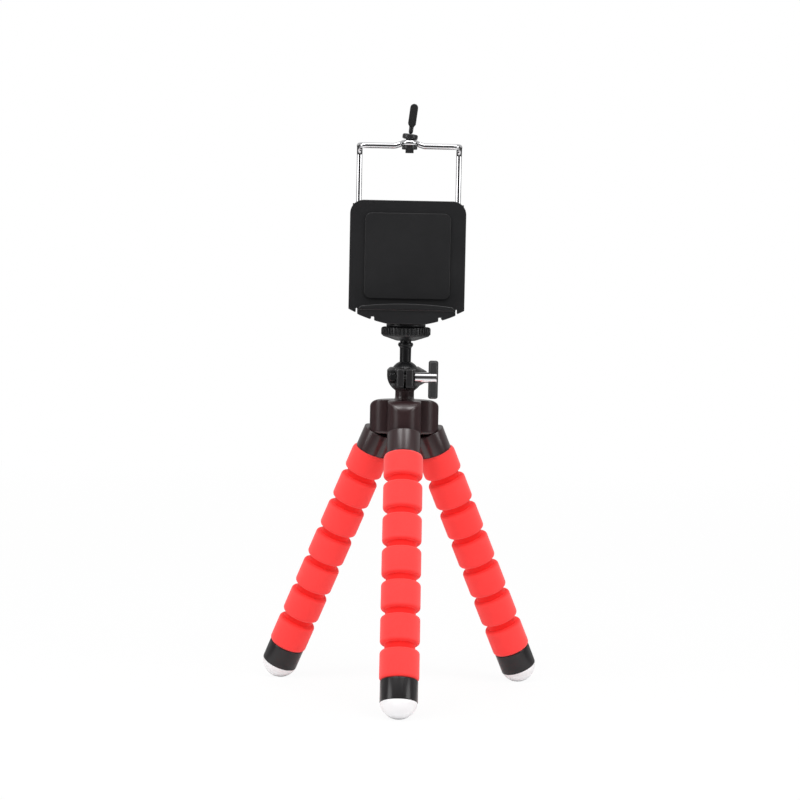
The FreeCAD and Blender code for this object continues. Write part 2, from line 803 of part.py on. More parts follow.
def clamp_body():
    """Base, front lip and housing of the device clamp in one moulding."""
    tip = (-tip_half_width, base_z + tip_rise)
    corner = housing_corner * (1 - math.sqrt(0.5))
    top_inner = tip_half_width - housing_corner
    steps = boat_steps(tip_half_width, housing_top_z - housing_corner)
    steps += [
        ((tip_half_width - corner, housing_top_z - corner), (top_inner, housing_top_z)),
        (-top_inner, housing_top_z),
        (
            (-tip_half_width + corner, housing_top_z - corner),
            (-tip_half_width, housing_top_z - housing_corner),
        ),
    ]
    housing = slab(tip, steps, jaw_back, housing_back_y)

    floor_steps = boat_steps(tip_half_width, seat_z + 1) + [(-tip_half_width, seat_z + 1)]
    front_face = -lip_inner - lip_thickness
    tiers = []
    tier_tops = (seat_z, base_z + lip_upper_tier, base_z + lip_lower_tier)
    for i, tier_top in enumerate(tier_tops):
        tier = slab(tip, floor_steps, front_face + (i if i else 1) * lip_step, jaw_back)
        room = box(
            -jaw_half_width, jaw_half_width, front_face, jaw_back, base_z - cut_past, min(tier_top, seat_z)
        )
        tiers.append(tier.common(room))
    lip_end = lip_half_width + lip_end_chamfer
    lip_base = base_z + lip_upper_tier
    lip = slab(
        (-lip_end, base_z + lip_lower_tier),
        [
            (lip_end, base_z + lip_lower_tier),
            (lip_end, base_z + lip_end_rise - lip_end_chamfer),
            (lip_half_width, base_z + lip_end_rise),
            ((0, base_z + lip_rise), (-lip_half_width, base_z + lip_end_rise)),
            (-lip_end, base_z + lip_end_rise - lip_end_chamfer),
        ],
        front_face,
        -lip_inner,
    )
    step_cut = box(
        -tip_half_width, tip_half_width, front_face - cut_past, front_face + lip_step, base_z, lip_base
    )
    ribs = [
        box(
            side * rib_offset - rib_width / 2, side * rib_offset + rib_width / 2,
            front_face + 2 * lip_step - rib_depth, front_face + 3 * lip_step,
            base_z + rib_foot, base_z + lip_lower_tier,
        )
        for side in (-1, 1)
    ]
    body = housing.fuse(tiers[1:] + [lip.cut(step_cut)] + ribs)

    cavity = box(
        -half_inside, half_inside, jaw_back + housing_front_wall, housing_back_y + cut_past,
        cavity_floor_z, cavity_top_z,
    )
    rebate = box(
        -half_inside - cover_ledge, half_inside + cover_ledge, cover_y, housing_back_y + cut_past,
        cavity_floor_z - cover_ledge, cavity_top_z + cover_ledge,
    )
    cuts = [cavity, rebate]
    reach = 2 * housing_depth
    for side in (-1, 1):
        cuts.append(
            Part.makeCylinder(
                rod_radius + running_gap, 2 * housing_top_wall,
                Vector(side * rod_leg_offset, rod_leg_back, cavity_top_z - cut_past / 2),
            )
        )
        cuts.append(
            box(
                side * slot_offset - slot_width / 2, side * slot_offset + slot_width / 2,
                -reach, reach, base_z + tip_rise - slot_drop, base_z + tip_rise + slot_top,
            )
        )
        cuts.append(
            box(
                side * notch_offset - notch_width / 2, side * notch_offset + notch_width / 2,
                -reach, reach, base_z - cut_past, base_z + notch_rise,
            )
        )
    cuts.append(Part.makeCylinder(nut_radius + slip_gap, nut_length + slip_gap, Vector(0, 0, base_z)))
    body = body.cut(cuts)
    bosses = []
    for side in (-1, 1):
        base = Vector(side * cover_boss_offset, jaw_back + housing_front_wall - cover_boss_root, boss_z)
        length = cover_y - base.y
        boss = Part.makeCylinder(cover_boss_radius, length, base, Vector(0, 1, 0))
        hole_start = base + Vector(0, cover_hole_floor, 0)
        hole = Part.makeCylinder(cover_screw_radius + slip_gap, length, hole_start, Vector(0, 1, 0))
        bosses.append(boss.cut(hole))
    return body.fuse(bosses)


def back_cover():
    """Lid that closes the housing from behind, held by two screws."""
    half = half_inside + cover_ledge - face_gap
    lid = box(
        -half, half, cover_y, housing_back_y,
        cavity_floor_z - cover_ledge + face_gap, cavity_top_z + cover_ledge - face_gap,
    )
    edges = [
        e for e in lid.Edges
        if e.BoundBox.YMin > housing_back_y - face_gap
    ]
    lid = lid.makeChamfer(cover_chamfer, edges)
    holes = []
    for side in (-1, 1):
        at = Vector(side * cover_boss_offset, cover_y, boss_z)
        holes.append(
            Part.makeCylinder(cover_screw_radius + slip_gap, cover_thickness, at, Vector(0, 1, 0))
        )
        head = Vector(at.x, housing_back_y - cover_screw_head_height, boss_z)
        holes.append(
            Part.makeCylinder(
                cover_screw_head_radius + slip_gap, cover_screw_head_height, head, Vector(0, 1, 0)
            )
        )
    return lid.cut(holes)


def cover_screws():
    """The two screws of the back cover."""
    screws = []
    for side in (-1, 1):
        seat_y = housing_back_y - cover_screw_head_height + slip_gap
        at = Vector(side * cover_boss_offset, seat_y, boss_z)
        head = Part.makeCylinder(
            cover_screw_head_radius, cover_screw_head_height - slip_gap, at, Vector(0, 1, 0)
        )
        shank = Part.makeCylinder(cover_screw_radius, cover_screw_length, at, Vector(0, -1, 0))
        screws.append(head.fuse(shank))
    return Part.Compound(screws)


def nut_insert():
    """Brass camera-thread insert pressed into the clamp's base."""
    bottom = base_z + slip_gap
    body = Part.makeCylinder(nut_radius, nut_length - slip_gap, Vector(0, 0, bottom))
    bore = Part.makeCylinder(screw_radius + running_gap, nut_length, Vector(0, 0, bottom))
    return body.cut(bore)


def seat_pad():
    """Rubber strip on the seat, grooved along its length."""
    front = -lip_inner + slip_gap
    back = jaw_back - slip_gap
    pad = box(-lip_half_width, lip_half_width, front, back, seat_z, pad_top_z)
    grooves = []
    for i in range(3):
        middle = front + (back - front) * (i + 1) / 4
        grooves.append(
            box(
                -lip_half_width - cut_past, lip_half_width + cut_past,
                middle - pad_groove_width / 2, middle + pad_groove_width / 2,
                pad_top_z - pad_groove_depth, pad_top_z + cut_past,
            )
        )
    return pad.cut(grooves)


def grip_pad():
    """Foam pad on the housing's face, behind the device."""
    bottom = base_z + grip_pad_rise
    pad = box(
        -grip_pad_half_width, grip_pad_half_width, jaw_back - grip_pad_thickness, jaw_back,
        bottom, bottom + grip_pad_height,
    )
    corners = [e for e in pad.Edges if e.BoundBox.YLength > grip_pad_thickness / 2
               and e.BoundBox.XLength < face_gap and e.BoundBox.ZLength < face_gap]
    return pad.makeFillet(grip_pad_corner, corners)


# Wire jaw

def wire_jaw():
    """Bent wire: two legs, two bars and the loop that holds the bumper."""
    foot_z = crosshead_top_z - crosshead_socket
    x = rod_leg_offset
    half = [
        Vector(-x, rod_leg_back, foot_z),
        Vector(-x, rod_leg_back, bar_z),
        Vector(-x, -rod_bar_front, bar_z),
        Vector(-loop_approach, -rod_bar_front, bar_z),
        Vector(-loop_half_width, -rod_bar_front, loop_z),
        Vector(-loop_half_width, -rod_bar_front - loop_depth, loop_z),
    ]
    loop_bend = loop_half_width - loop_bend_slack
    bends = [rod_upper_bend, rod_corner_bend, rod_corner_bend, rod_step_bend, loop_bend]
    points = half + [Vector(-p.x, p.y, p.z) for p in reversed(half)]
    return bent_rod(points, bends + bends[::-1], rod_radius)


def crosshead():
    """Slide inside the housing that joins the wire's ends and takes the springs."""
    half = half_inside - crosshead_play
    y0 = rod_leg_back - crosshead_depth / 2
    bar = box(-half, half, y0, y0 + crosshead_depth, crosshead_z, crosshead_top_z)
    holes = [
        Part.makeCylinder(
            rod_radius + slip_gap, crosshead_socket + slip_gap,
            Vector(side * rod_leg_offset, rod_leg_back, crosshead_top_z - crosshead_socket - slip_gap),
        )
        for side in (-1, 1)
    ]
    return bar.cut(holes)


def return_springs():
    """Two springs round the wire's legs, from the crosshead to the housing's top."""
    bottom = crosshead_top_z + 2 * slip_gap
    top = cavity_top_z - 2 * slip_gap
    coil_radius = spring_outer_radius - spring_wire_radius
    height = top - bottom - 2 * spring_wire_radius
    pitch = height / spring_turns
    springs = []
    for side in (-1, 1):
        start = Vector(coil_radius, 0, 0)
        slope = Vector(0, 2 * math.pi * coil_radius, pitch)
        path = Part.makeHelix(pitch, height, coil_radius)
        section = Part.Wire(Part.makeCircle(spring_wire_radius, start, slope))
        coil = Part.Wire(path).makePipeShell([section], True, True)
        coil.translate(Vector(side * rod_leg_offset, rod_leg_back, bottom + spring_wire_radius))
        springs.append(coil)
    return Part.Compound(springs)


def bumper():
    """Rubber bumper through the wire's loop: plug and toe below, leaning collar above."""
    plug_bottom = bar_z - rod_radius - bumper_drop
    plug_top = loop_z - rod_radius - slip_gap
    collar_z0 = loop_z + rod_radius + collar_lift
    plug = Part.makeCylinder(bumper_radius, plug_top - plug_bottom, Vector(0, loop_y, plug_bottom))
    neck = Part.makeCylinder(
        bumper_neck_radius, collar_z0 + collar_thickness / 2 - plug_top, Vector(0, loop_y, plug_top)
    )
    toe_front = loop_y - bumper_radius + bumper_toe_inset
    toe_back = toe_front + bumper_toe_root
    toe_top = plug_bottom + bumper_toe_sink
    toe_tip = plug_bottom - bumper_toe_drop
    toe_section = Part.makePolygon([
        Vector(0, toe_front, toe_top),
        Vector(0, toe_back, toe_top),
        Vector(0, toe_back, plug_bottom - edge_break),
        Vector(0, toe_front + bumper_toe_tip, toe_tip),
        Vector(0, toe_front, toe_tip),
        Vector(0, toe_front, toe_top),
    ])
    toe = Part.Face(toe_section).extrude(Vector(bumper_toe_width, 0, 0))
    toe.translate(Vector(-bumper_toe_width / 2, 0, 0))
    collar = turned(
        (0, 0),
        (bumper_radius - collar_edge, 0),
        (bumper_radius, collar_edge),
        (bumper_radius, collar_thickness - collar_edge),
        (bumper_radius - collar_edge, collar_thickness),
        (0, collar_thickness),
    )
    collar = leaning(collar, collar_z0)
    return plug.fuse([neck, toe, collar])


def leaning(shape, height):
    """Lean a piece made up from the origin to the right, and set it over the loop."""
    shape.rotate(Vector(0, 0, 0), Vector(0, 1, 0), tab_lean_angle)
    shape.translate(Vector(0, loop_y, height))
    return shape


def pull_tab():
    """Finger tab on a thin neck that flexes above the bumper's collar."""
    pivot = tab_pivot_rise
    z0 = pivot + tab_neck_length
    neck = Part.makeCylinder(tab_neck_radius, tab_neck_length + tab_shoulder, Vector(0, 0, pivot))
    root = Part.makeSphere(tab_neck_radius, Vector(0, 0, pivot))
    round_off = tab_width / 2
    diagonal = round_off * math.sqrt(0.5)
    top = z0 + tab_length
    paddle = slab(
        (-round_off, z0 + tab_shoulder),
        [
            (-tab_root_share * round_off, z0),
            (tab_root_share * round_off, z0),
            (round_off, z0 + tab_shoulder),
            (round_off, top - round_off),
            ((diagonal, top - round_off + diagonal), (0, top)),
            ((-diagonal, top - round_off + diagonal), (-round_off, top - round_off)),
        ],
        -tab_depth / 2,
        tab_depth / 2,
    )
    tab = neck.fuse([root, paddle]).removeSplitter()
    return leaning(tab, loop_z + rod_radius + collar_lift)


def save(node, shape):
    """Move a piece from the post's axis to the footprint's centre and write its STEP file."""
    placed = shape.copy()
    placed.translate(Vector(0, post_y, 0))
    placed.exportStep("parts/" + node + ".step")


def main():
    os.makedirs("parts", exist_ok=True)
    nodes = {
        "hub": hub(),
        "base_plate": base_plate(),
        "base_screw": base_screw(),
        "clamp_nut": clamp_nut(),
        "armature_roots": Part.Compound([on_leg(armature_root(), a) for a in leg_azimuths.values()]),
        "ball_seat": ball_seat(),
        "ball_stud": ball_stud(),
        "camera_screw": camera_screw(),
        "clamp_screw": clamp_screw(),
        "clamp_handle": clamp_handle(),
        "wheel_washer": wheel_washer(),
        "locking_wheel": locking_wheel(),
        "wheel_insert": wheel_insert(),
        "clamp_body": clamp_body(),
        "back_cover": back_cover(),
        "cover_screws": cover_screws(),
        "nut_insert": nut_insert(),
        "seat_pad": seat_pad(),
        "grip_pad": grip_pad(),
        "return_springs": return_springs(),
        "wire_jaw": wire_jaw(),
        "crosshead": crosshead(),
        "bumper": bumper(),
        "pull_tab": pull_tab(),
    }
    segments = [leg_segment(i) for i in range(segment_count)]
    cap = leg_cap()
    ring = end_ring()
    for side, azimuth in leg_azimuths.items():
        nodes[side + "_leg_cap"] = on_leg(cap, azimuth)
        for i, segment in enumerate(segments):
            nodes[side + "_leg_segment_" + str(i + 1)] = on_leg(segment, azimuth)
        nodes[side + "_leg_ring"] = on_leg(ring, azimuth)
        nodes[side + "_leg_foot"] = rubber_foot(azimuth)
    for node, shape in nodes.items():
        save(node, shape)


main()
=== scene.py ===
"""Looks of a small tripod with bendable foam legs and a sprung wire clamp.

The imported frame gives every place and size. Each sub-assembly below is a class that
makes its visible meshes over its own solids and dresses them. Sizes in the classes are
in millimetres and meshes are made in metres, in the row frame.
"""
import sys

import json
import logging
import math
from dataclasses import dataclass, field
from enum import Enum
from functools import wraps
from typing import Any, Callable, Sequence

import bmesh
import bpy
from mathutils import Matrix, Vector

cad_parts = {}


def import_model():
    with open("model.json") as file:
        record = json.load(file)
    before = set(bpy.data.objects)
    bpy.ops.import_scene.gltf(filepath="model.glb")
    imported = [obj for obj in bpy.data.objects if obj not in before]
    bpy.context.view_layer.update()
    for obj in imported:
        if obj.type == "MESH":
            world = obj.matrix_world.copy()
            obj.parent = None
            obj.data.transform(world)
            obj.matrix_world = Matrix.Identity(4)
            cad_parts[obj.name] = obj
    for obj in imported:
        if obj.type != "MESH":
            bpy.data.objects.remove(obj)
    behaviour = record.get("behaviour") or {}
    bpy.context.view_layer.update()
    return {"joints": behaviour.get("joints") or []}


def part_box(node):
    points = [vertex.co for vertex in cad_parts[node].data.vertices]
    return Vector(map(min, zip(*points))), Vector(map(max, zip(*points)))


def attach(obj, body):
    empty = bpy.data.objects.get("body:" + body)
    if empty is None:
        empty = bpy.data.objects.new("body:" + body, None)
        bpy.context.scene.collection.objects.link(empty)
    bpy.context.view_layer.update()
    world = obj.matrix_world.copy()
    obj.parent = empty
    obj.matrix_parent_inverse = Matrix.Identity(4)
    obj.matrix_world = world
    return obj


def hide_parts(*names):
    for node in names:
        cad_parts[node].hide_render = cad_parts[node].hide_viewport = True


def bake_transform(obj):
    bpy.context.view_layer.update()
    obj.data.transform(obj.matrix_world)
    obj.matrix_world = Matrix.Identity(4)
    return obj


MM = 0.001
ON_AXIS = 1e-6         # a profile point nearer the axis lies on it, in millimetres
MERGE_DISTANCE = 1e-6  # vertices nearer than this are one, in metres
MOST_SETBACK = 0.45    # share of a profile's side that one rounding may take
FLAT_ANGLE = 0.4       # faces that lean less than this are one face, in degrees
EDGE_ANGLE = 42.0      # edges sharper than this are broken, in degrees
SMOOTH_ANGLE = 38.0    # edges sharper than this stay sharp in a turned piece
SKIN_ANGLE = 40.0      # and in a copy of a node
LONG_ANGLE = 50.0      # and in a barrel or a rod
TURNED_SIDES = 96      # facets round a turned piece
FOAM_SIDES = 64        # facets round a barrel or a groove
EDGE_STEPS = 2         # facets across a broken edge
EASE = 0.5             # how far one pass moves a point towards its neighbours
LOG = logging.getLogger("tripod")

Point = tuple[float, float]
Colour = tuple[float, float, float]
Node = bpy.types.Node
NodeTree = bpy.types.NodeTree
Object = bpy.types.Object
Socket = bpy.types.NodeSocket


class Side(Enum):
    """The three legs, by where they stand."""

    FRONT = "front"
    RIGHT = "right"
    LEFT = "left"


class Look(Enum):
    """Every finish on the object."""

    FOAM = "foam"
    GLOSS_BLACK = "gloss_black"
    RING_BLACK = "ring_black"
    SATIN_BLACK = "satin_black"
    GREY_PLASTIC = "grey_plastic"
    BLACK_METAL = "black_metal"
    BLACKENED = "blackened"
    CHROME = "chrome"
    STEEL = "steel"
    BRASS = "brass"
    NYLON = "nylon"
    BLACK_RUBBER = "black_rubber"
    WHITE_RUBBER = "white_rubber"


# Node trees


@dataclass
class Tree:
    """Adds nodes to one shader or geometry tree and joins them."""

    tree: NodeTree

    def add(self, kind: str, inputs: dict[Any, Any] | None = None, **settings: Any) -> Node:
        """Add one node.

        Args:
            kind: the node's type name.
            inputs: value or linked output for each input, by name or place.
            **settings: properties of the node itself.

        Returns:
            The new node.
        """
        node = self.tree.nodes.new(kind)
        for name, value in settings.items():
            setattr(node, name, value)
        for key, value in (inputs or {}).items():
            socket = node.inputs[key]
            if isinstance(value, Socket):
                self.tree.links.new(value, socket)
            else:
                socket.default_value = value
        return node

    def declare(self, way: str, kind: str, *names: str) -> None:
        """Declare inputs or outputs of the tree.

        Args:
            way: INPUT or OUTPUT.
            kind: the end of their type's name, such as Float.
            *names: their names.
        """
        for name in names:
            self.tree.interface.new_socket(name=name, in_out=way, socket_type="NodeSocket" + kind)

    def math(self, operation: str, a: Any, b: Any = 0.0, clamp: bool = False) -> Socket:
        """Add a math node.

        Args:
            operation: the operation's name.
            a: first value or output.
            b: second value or output.
            clamp: whether the result is held between 0 and 1.

        Returns:
            The node's output.
        """
        kind = "ShaderNodeMath"
        return self.add(kind, {0: a, 1: b}, operation=operation, use_clamp=clamp).outputs[0]

    def mix(self, share: Socket, a: Any, b: Any) -> Socket:
        """Mix two colours.

        Args:
            share: how much of the second one there is.
            a: first colour.
            b: second colour.

        Returns:
            The mixed colour.
        """
        kind = "ShaderNodeMix"
        return self.add(kind, {0: share, 6: a, 7: b}, data_type="RGBA").outputs[2]

    def noise(self, place: Socket, scale: Any, detail: float, roughness: float = 0.5) -> Socket:
        """Add a noise texture.

        Args:
            place: the coordinates.
            scale: how fine it is.
            detail: how many finer layers it has.
            roughness: how strong those are.

        Returns:
            A value that swings about one half.
        """
        return self.add("ShaderNodeTexNoise", {
            "Vector": place, "Scale": scale, "Detail": detail, "Roughness": roughness,
        }).outputs[0]

    def ramp(self, value: Socket, over: Point, first: float, last: float) -> Socket:
        """Add a ramp that is level outside its range.

        Args:
            value: what it depends on.
            over: where it starts and ends.
            first: its result up to the start.
            last: its result from the end on.

        Returns:
            The node's output.
        """
        return self.add("ShaderNodeMapRange", {
            "Value": value, "From Min": over[0], "From Max": over[1],
            "To Min": first, "To Max": last,
        }).outputs[0]


def shared(name: str, kind: str) -> Callable[[Callable[[Tree], None]], Callable[[], NodeTree]]:
    """Make a node tree once, and give the same tree each time.

    Args:
        name: the tree's name.
        kind: its type.

    Returns:
        A decorator that turns a function that fills a tree into one that gives it.
    """
    def wrap(fill: Callable[[Tree], None]) -> Callable[[], NodeTree]:
        """Wrap one function that fills a tree.

        Args:
            fill: the function.

        Returns:
            A function that gives the tree.
        """
        @wraps(fill)
        def give() -> NodeTree:
            """Find the tree, or make it and fill it.

            Returns:
                The node tree.
            """
            found = bpy.data.node_groups.get(name)
            if not found:
                found = bpy.data.node_groups.new(name, kind)
                fill(Tree(found))
            return found
        return give
    return wrap


@shared("surface_grain", "ShaderNodeTree")
def grain_group(sheet: Tree) -> None:
    """Fine grain and uneven polish, which every moulded, cast or rubber surface shares.

    Args:
        sheet: the shader group.
    """
    sheet.declare("INPUT", "Float", "Grain Scale", "Grain Depth", "Roughness", "Spread")
    sheet.declare("OUTPUT", "Float", "Roughness")
    sheet.declare("OUTPUT", "Vector", "Normal")
    given = sheet.add("NodeGroupInput").outputs
    place = sheet.add("ShaderNodeTexCoord").outputs["Object"]
    fine = sheet.noise(place, given["Grain Scale"], detail=3.0)
    patch = sheet.noise(place, scale=120.0, detail=4.0, roughness=0.6)
    swing = sheet.math("MULTIPLY", sheet.math("SUBTRACT", patch, 0.5), given["Spread"])
    rough = sheet.math("ADD", given["Roughness"], sheet.math("MULTIPLY", swing, 2.0), clamp=True)
    bump = sheet.add("ShaderNodeBump", {
        "Strength": 1.0, "Distance": given["Grain Depth"], "Height": fine,
    })
    sheet.add("NodeGroupOutput", {"Roughness": rough, "Normal": bump.outputs[0]})


@shared("colour_drift", "ShaderNodeTree")
def drift_group(sheet: Tree) -> None:
    """Slow drift of a colour's lightness over a surface, and lighter dust in its pores.

    Args:
        sheet: the shader group.
    """
    drift_share = 0.6
    sheet.declare("INPUT", "Color", "Colour", "Second Colour")
    sheet.declare("INPUT", "Float", "Drift Scale", "Speckle Scale", "Speckle Share")
    sheet.declare("OUTPUT", "Color", "Colour")
    given = sheet.add("NodeGroupInput").outputs
    place = sheet.add("ShaderNodeTexCoord").outputs["Object"]
    slow = sheet.noise(place, given["Drift Scale"], detail=3.0)
    fast = sheet.noise(place, given["Speckle Scale"], detail=2.0)
    speckle = sheet.math("MULTIPLY", fast, given["Speckle Share"])
    share = sheet.math("ADD", sheet.math("MULTIPLY", slow, drift_share), speckle, clamp=True)
    mixed = sheet.mix(share, given["Colour"], given["Second Colour"])
    sheet.add("NodeGroupOutput", {"Colour": mixed})


@dataclass(frozen=True)
class Finish:
    """One finish: its colours, its polish and its grain."""

    look: Look
    slot: str  # the record's material slot
    colour: Colour  # main colour, linear
    second: Colour  # colour it drifts towards
    roughness: float
    spread: float = 0.06
    grain_scale: float = 2500.0
    grain_depth: float = 0.00001
    metallic: float = 0.0  # 1 for bare metal
    coat: float = 0.0  # weight of a clear gloss
    coat_roughness: float = 0.1
    sheen: float = 0.0
    sheen_roughness: float = 0.5
    specular: float = 0.5
    drift_scale: float = 90.0
    speckle_scale: float = 3000.0
    speckle_share: float = 0.2
    painted_light_share: float = 0.0  # how far a mesh's attribute of painted shade and painted bounce light changes its colour
    painted_light_colour: Colour = (0.01, 0.01, 0.01)  # colour that painted shade darkens to; on the hub, the grey that painted red bounce light fades to

    def build(self) -> bpy.types.Material:
        """Make the material once and give it back each time.

        Returns:
            The material.
        """
        name = "finish_" + self.look.value
        found = bpy.data.materials.get(name)
        if found:
            return found
        material = bpy.data.materials.new(name)
        material.use_nodes = True
        sheet = Tree(material.node_tree)
        shader = material.node_tree.nodes["Principled BSDF"]
        grain = sheet.add("ShaderNodeGroup", {
            "Grain Scale": self.grain_scale, "Grain Depth": self.grain_depth,
            "Roughness": self.roughness, "Spread": self.spread,
        }, node_tree=grain_group()).outputs
        colour = sheet.add("ShaderNodeGroup", {
            "Colour": (*self.colour, 1.0), "Second Colour": (*self.second, 1.0),
            "Drift Scale": self.drift_scale, "Speckle Scale": self.speckle_scale,
            "Speckle Share": self.speckle_share,
        }, node_tree=drift_group()).outputs["Colour"]
        links = material.node_tree.links
        # painted shade and painted bounce light, where the mesh's attribute marks them
        if self.painted_light_share:
            depth = sheet.add("ShaderNodeAttribute", attribute_name="soil").outputs["Fac"]
            share = sheet.math("MULTIPLY", depth, self.painted_light_share)
            colour = sheet.mix(share, colour, (*self.painted_light_colour, 1.0))
            if self.metallic:
                bare = sheet.math("SUBTRACT", self.metallic, share)
                links.new(bare, shader.inputs["Metallic"])
        links.new(colour, shader.inputs["Base Color"])
        links.new(grain["Roughness"], shader.inputs["Roughness"])
        links.new(grain["Normal"], shader.inputs["Normal"])
        for socket, value in (
            ("Metallic", self.metallic), ("Specular IOR Level", self.specular),
            ("Coat Weight", self.coat), ("Coat Roughness", self.coat_roughness),
            ("Sheen Weight", self.sheen), ("Sheen Roughness", self.sheen_roughness),
        ):
            shader.inputs[socket].default_value = value
        material.diffuse_color = (*self.colour, 1.0)
        return material


METAL = {"grain_scale": 2000.0, "grain_depth": 0.000008, "metallic": 1.0}

FINISHES: dict[Look, Finish] = {finish.look: finish for finish in (
    Finish(
        Look.FOAM, "red_foam", (0.96, 0.03, 0.0275), (1.0, 0.064, 0.06), 0.82, spread=0.05,
        grain_scale=2600.0, grain_depth=0.00006, sheen=0.25, specular=0.22,
        drift_scale=60.0, speckle_scale=2600.0, speckle_share=0.5,
        # painted shade: the foam turns darker red where it draws in at the grooves
        painted_light_share=0.85, painted_light_colour=(0.9, 0.007, 0.004),
    ),
    Finish(
        # red-brown tint: painted red bounce light from the foam, which the hub fades to grey higher
        # up
        Look.GLOSS_BLACK, "hub_plastic", (0.026, 0.0115, 0.0125), (0.034, 0.0155, 0.0165),
        0.32, grain_scale=1500.0, grain_depth=0.000004, coat=0.55, coat_roughness=0.2,
        specular=0.4, painted_light_share=1.0, painted_light_colour=(0.0155, 0.0145, 0.0155),
    ),
    Finish(
        Look.RING_BLACK, "ring_plastic", (0.008, 0.007, 0.008), (0.013, 0.011, 0.012), 0.3,
        grain_scale=1500.0, grain_depth=0.000004, coat=0.3, coat_roughness=0.16, specular=0.3,
    ),
    Finish(
        Look.SATIN_BLACK, "black_plastic", (0.01, 0.01, 0.011), (0.017, 0.017, 0.018), 0.4,
        grain_scale=3200.0, coat=0.3, coat_roughness=0.24, specular=0.36,
    ),
    Finish(
        Look.GREY_PLASTIC, "black_plastic", (0.026, 0.026, 0.027), (0.038, 0.038, 0.039), 0.4,
        grain_scale=3200.0, coat=0.4, coat_roughness=0.2, specular=0.36,
    ),
    Finish(
        Look.BLACK_METAL, "black_metal", (0.006, 0.006, 0.007), (0.011, 0.011, 0.012), 0.34,
        grain_scale=2400.0, coat=0.2, coat_roughness=0.22, specular=0.3,
    ),
    Finish(Look.BLACKENED, "steel", (0.06, 0.06, 0.062), (0.09, 0.09, 0.092), 0.36, **METAL),
    Finish(
        Look.CHROME, "bright_chrome", (0.82, 0.82, 0.84), (0.9, 0.9, 0.91), 0.07, spread=0.0,
        # painted shade: dark and not metal where the mesh marks the thread inside the ears
        grain_scale=600.0, grain_depth=0.0, metallic=1.0, painted_light_share=1.0,
    ),
    Finish(Look.STEEL, "steel", (0.5, 0.5, 0.51), (0.62, 0.62, 0.63), 0.3, **METAL),
    Finish(Look.BRASS, "insert_brass", (0.66, 0.43, 0.16), (0.74, 0.5, 0.22), 0.28, **METAL),
    Finish(Look.NYLON, "nylon", (0.7, 0.68, 0.62), (0.76, 0.74, 0.68), 0.42, grain_scale=1800.0),
    Finish(
        Look.BLACK_RUBBER, "black_rubber", (0.008, 0.008, 0.009), (0.016, 0.016, 0.017), 0.5,
        grain_scale=2800.0, sheen=0.05, coat=0.5, coat_roughness=0.22, specular=0.3,
    ),
    Finish(
        Look.WHITE_RUBBER, "white_rubber", (0.88, 0.87, 0.88), (0.92, 0.91, 0.92), 0.34,
        grain_scale=1800.0, grain_depth=0.000006, coat=0.3, coat_roughness=0.2,
        speckle_share=0.1,
    ),
)}


# Mesh making


def soften(profile: Sequence[Point], radius: float, steps: int = 5) -> list[Point]:
    """Round the inner corners of an open profile.

    Args:
        profile: the (radius, height) points.
        radius: how far from each corner the rounding starts.
        steps: points in each rounding.

    Returns:
        The longer list of points.
    """
    done = [profile[0]]
    for before, here, after in zip(profile, profile[1:], profile[2:]):
        start, corner, end = (Vector(p) for p in (before, here, after))
        sides = ((start - corner).length, (end - corner).length)
        setback = min(radius, *(MOST_SETBACK * length for length in sides))
        a = corner + (start - corner).normalized() * setback
        b = corner + (end - corner).normalized() * setback
        for i in range(steps + 1):
            t = i / steps
            done.append(tuple((1 - t) ** 2 * a + 2 * t * (1 - t) * corner + t * t * b))
    done.append(profile[-1])
    return done


def added(name: str, data: bpy.types.ID) -> Object:
    """Put a new object at the origin.

    Args:
        name: its name.
        data: its mesh, lamp or camera data.

    Returns:
        The new object.
    """
    obj = bpy.data.objects.new(name, data)
    bpy.context.scene.collection.objects.link(obj)
    return obj


def lathe(name: str, profile: Sequence[Point], place: Matrix, sides: int = TURNED_SIDES) -> Object:
    """Turn a profile about its own Z axis into a closed solid and set it in place.

    Args:
        name: the piece's name.
        profile: (radius, height) points in millimetres; a radius of 0 closes an end.
        place: from the profile's own axes to the row frame, in metres.
        sides: facets round the axis.

    Returns:
        The new object.
    """
    shell = bmesh.new()
    turn = [2 * math.pi * i / sides for i in range(sides)]
    rings = []
    for radius, height in profile:
        if radius < ON_AXIS:
            rings.append([shell.verts.new((0, 0, height * MM))])
            continue
        rings.append([
            shell.verts.new((radius * MM * math.cos(a), radius * MM * math.sin(a), height * MM))
            for a in turn
        ])
    pairs = list(zip(rings, rings[1:]))
    if len(rings[0]) > 1:
        pairs.append((rings[-1], rings[0]))
    for low, high in pairs:
        for i in range(sides):
            j = (i + 1) % sides
            around = (low[i % len(low)], low[j % len(low)], high[j % len(high)], high[i % len(high)])
            unique = list(dict.fromkeys(around))
            if len(unique) > 2:
                shell.faces.new(unique)
    return finished(name, shell, place)


def finished(name: str, shell: bmesh.types.BMesh, place: Matrix | None = None) -> Object:
    """Turn a bmesh into an object with outward faces and smooth shading.

    Args:
        name: the object's name.
        shell: the bmesh, freed here.
        place: where its own axes go in the row frame.

    Returns:
        The new object.
    """
    if place is not None:
        shell.transform(place)
    bmesh.ops.recalc_face_normals(shell, faces=shell.faces)
    mesh = bpy.data.meshes.new(name)
    shell.to_mesh(mesh)
    shell.free()
    obj = added(name, mesh)
    smooth(obj)
    return obj


def smooth(obj: Object, angle: float = SMOOTH_ANGLE) -> None:
    """Shade a piece smooth, but for edges sharper than the angle in degrees."""
    obj.data.shade_smooth()
    obj.data.set_sharp_from_angle(angle=math.radians(angle))


def soil(obj: Object, domain: str, values: Sequence[float]) -> None:
    """Write how far painted shade and painted bounce light go into a piece's colour.

    Args:
        obj: the piece.
        domain: POINT or FACE.
        values: a share from 0 to 1 for each point or face.
    """
    obj.data.attributes.new("soil", "FLOAT", domain).data.foreach_set("value", values)


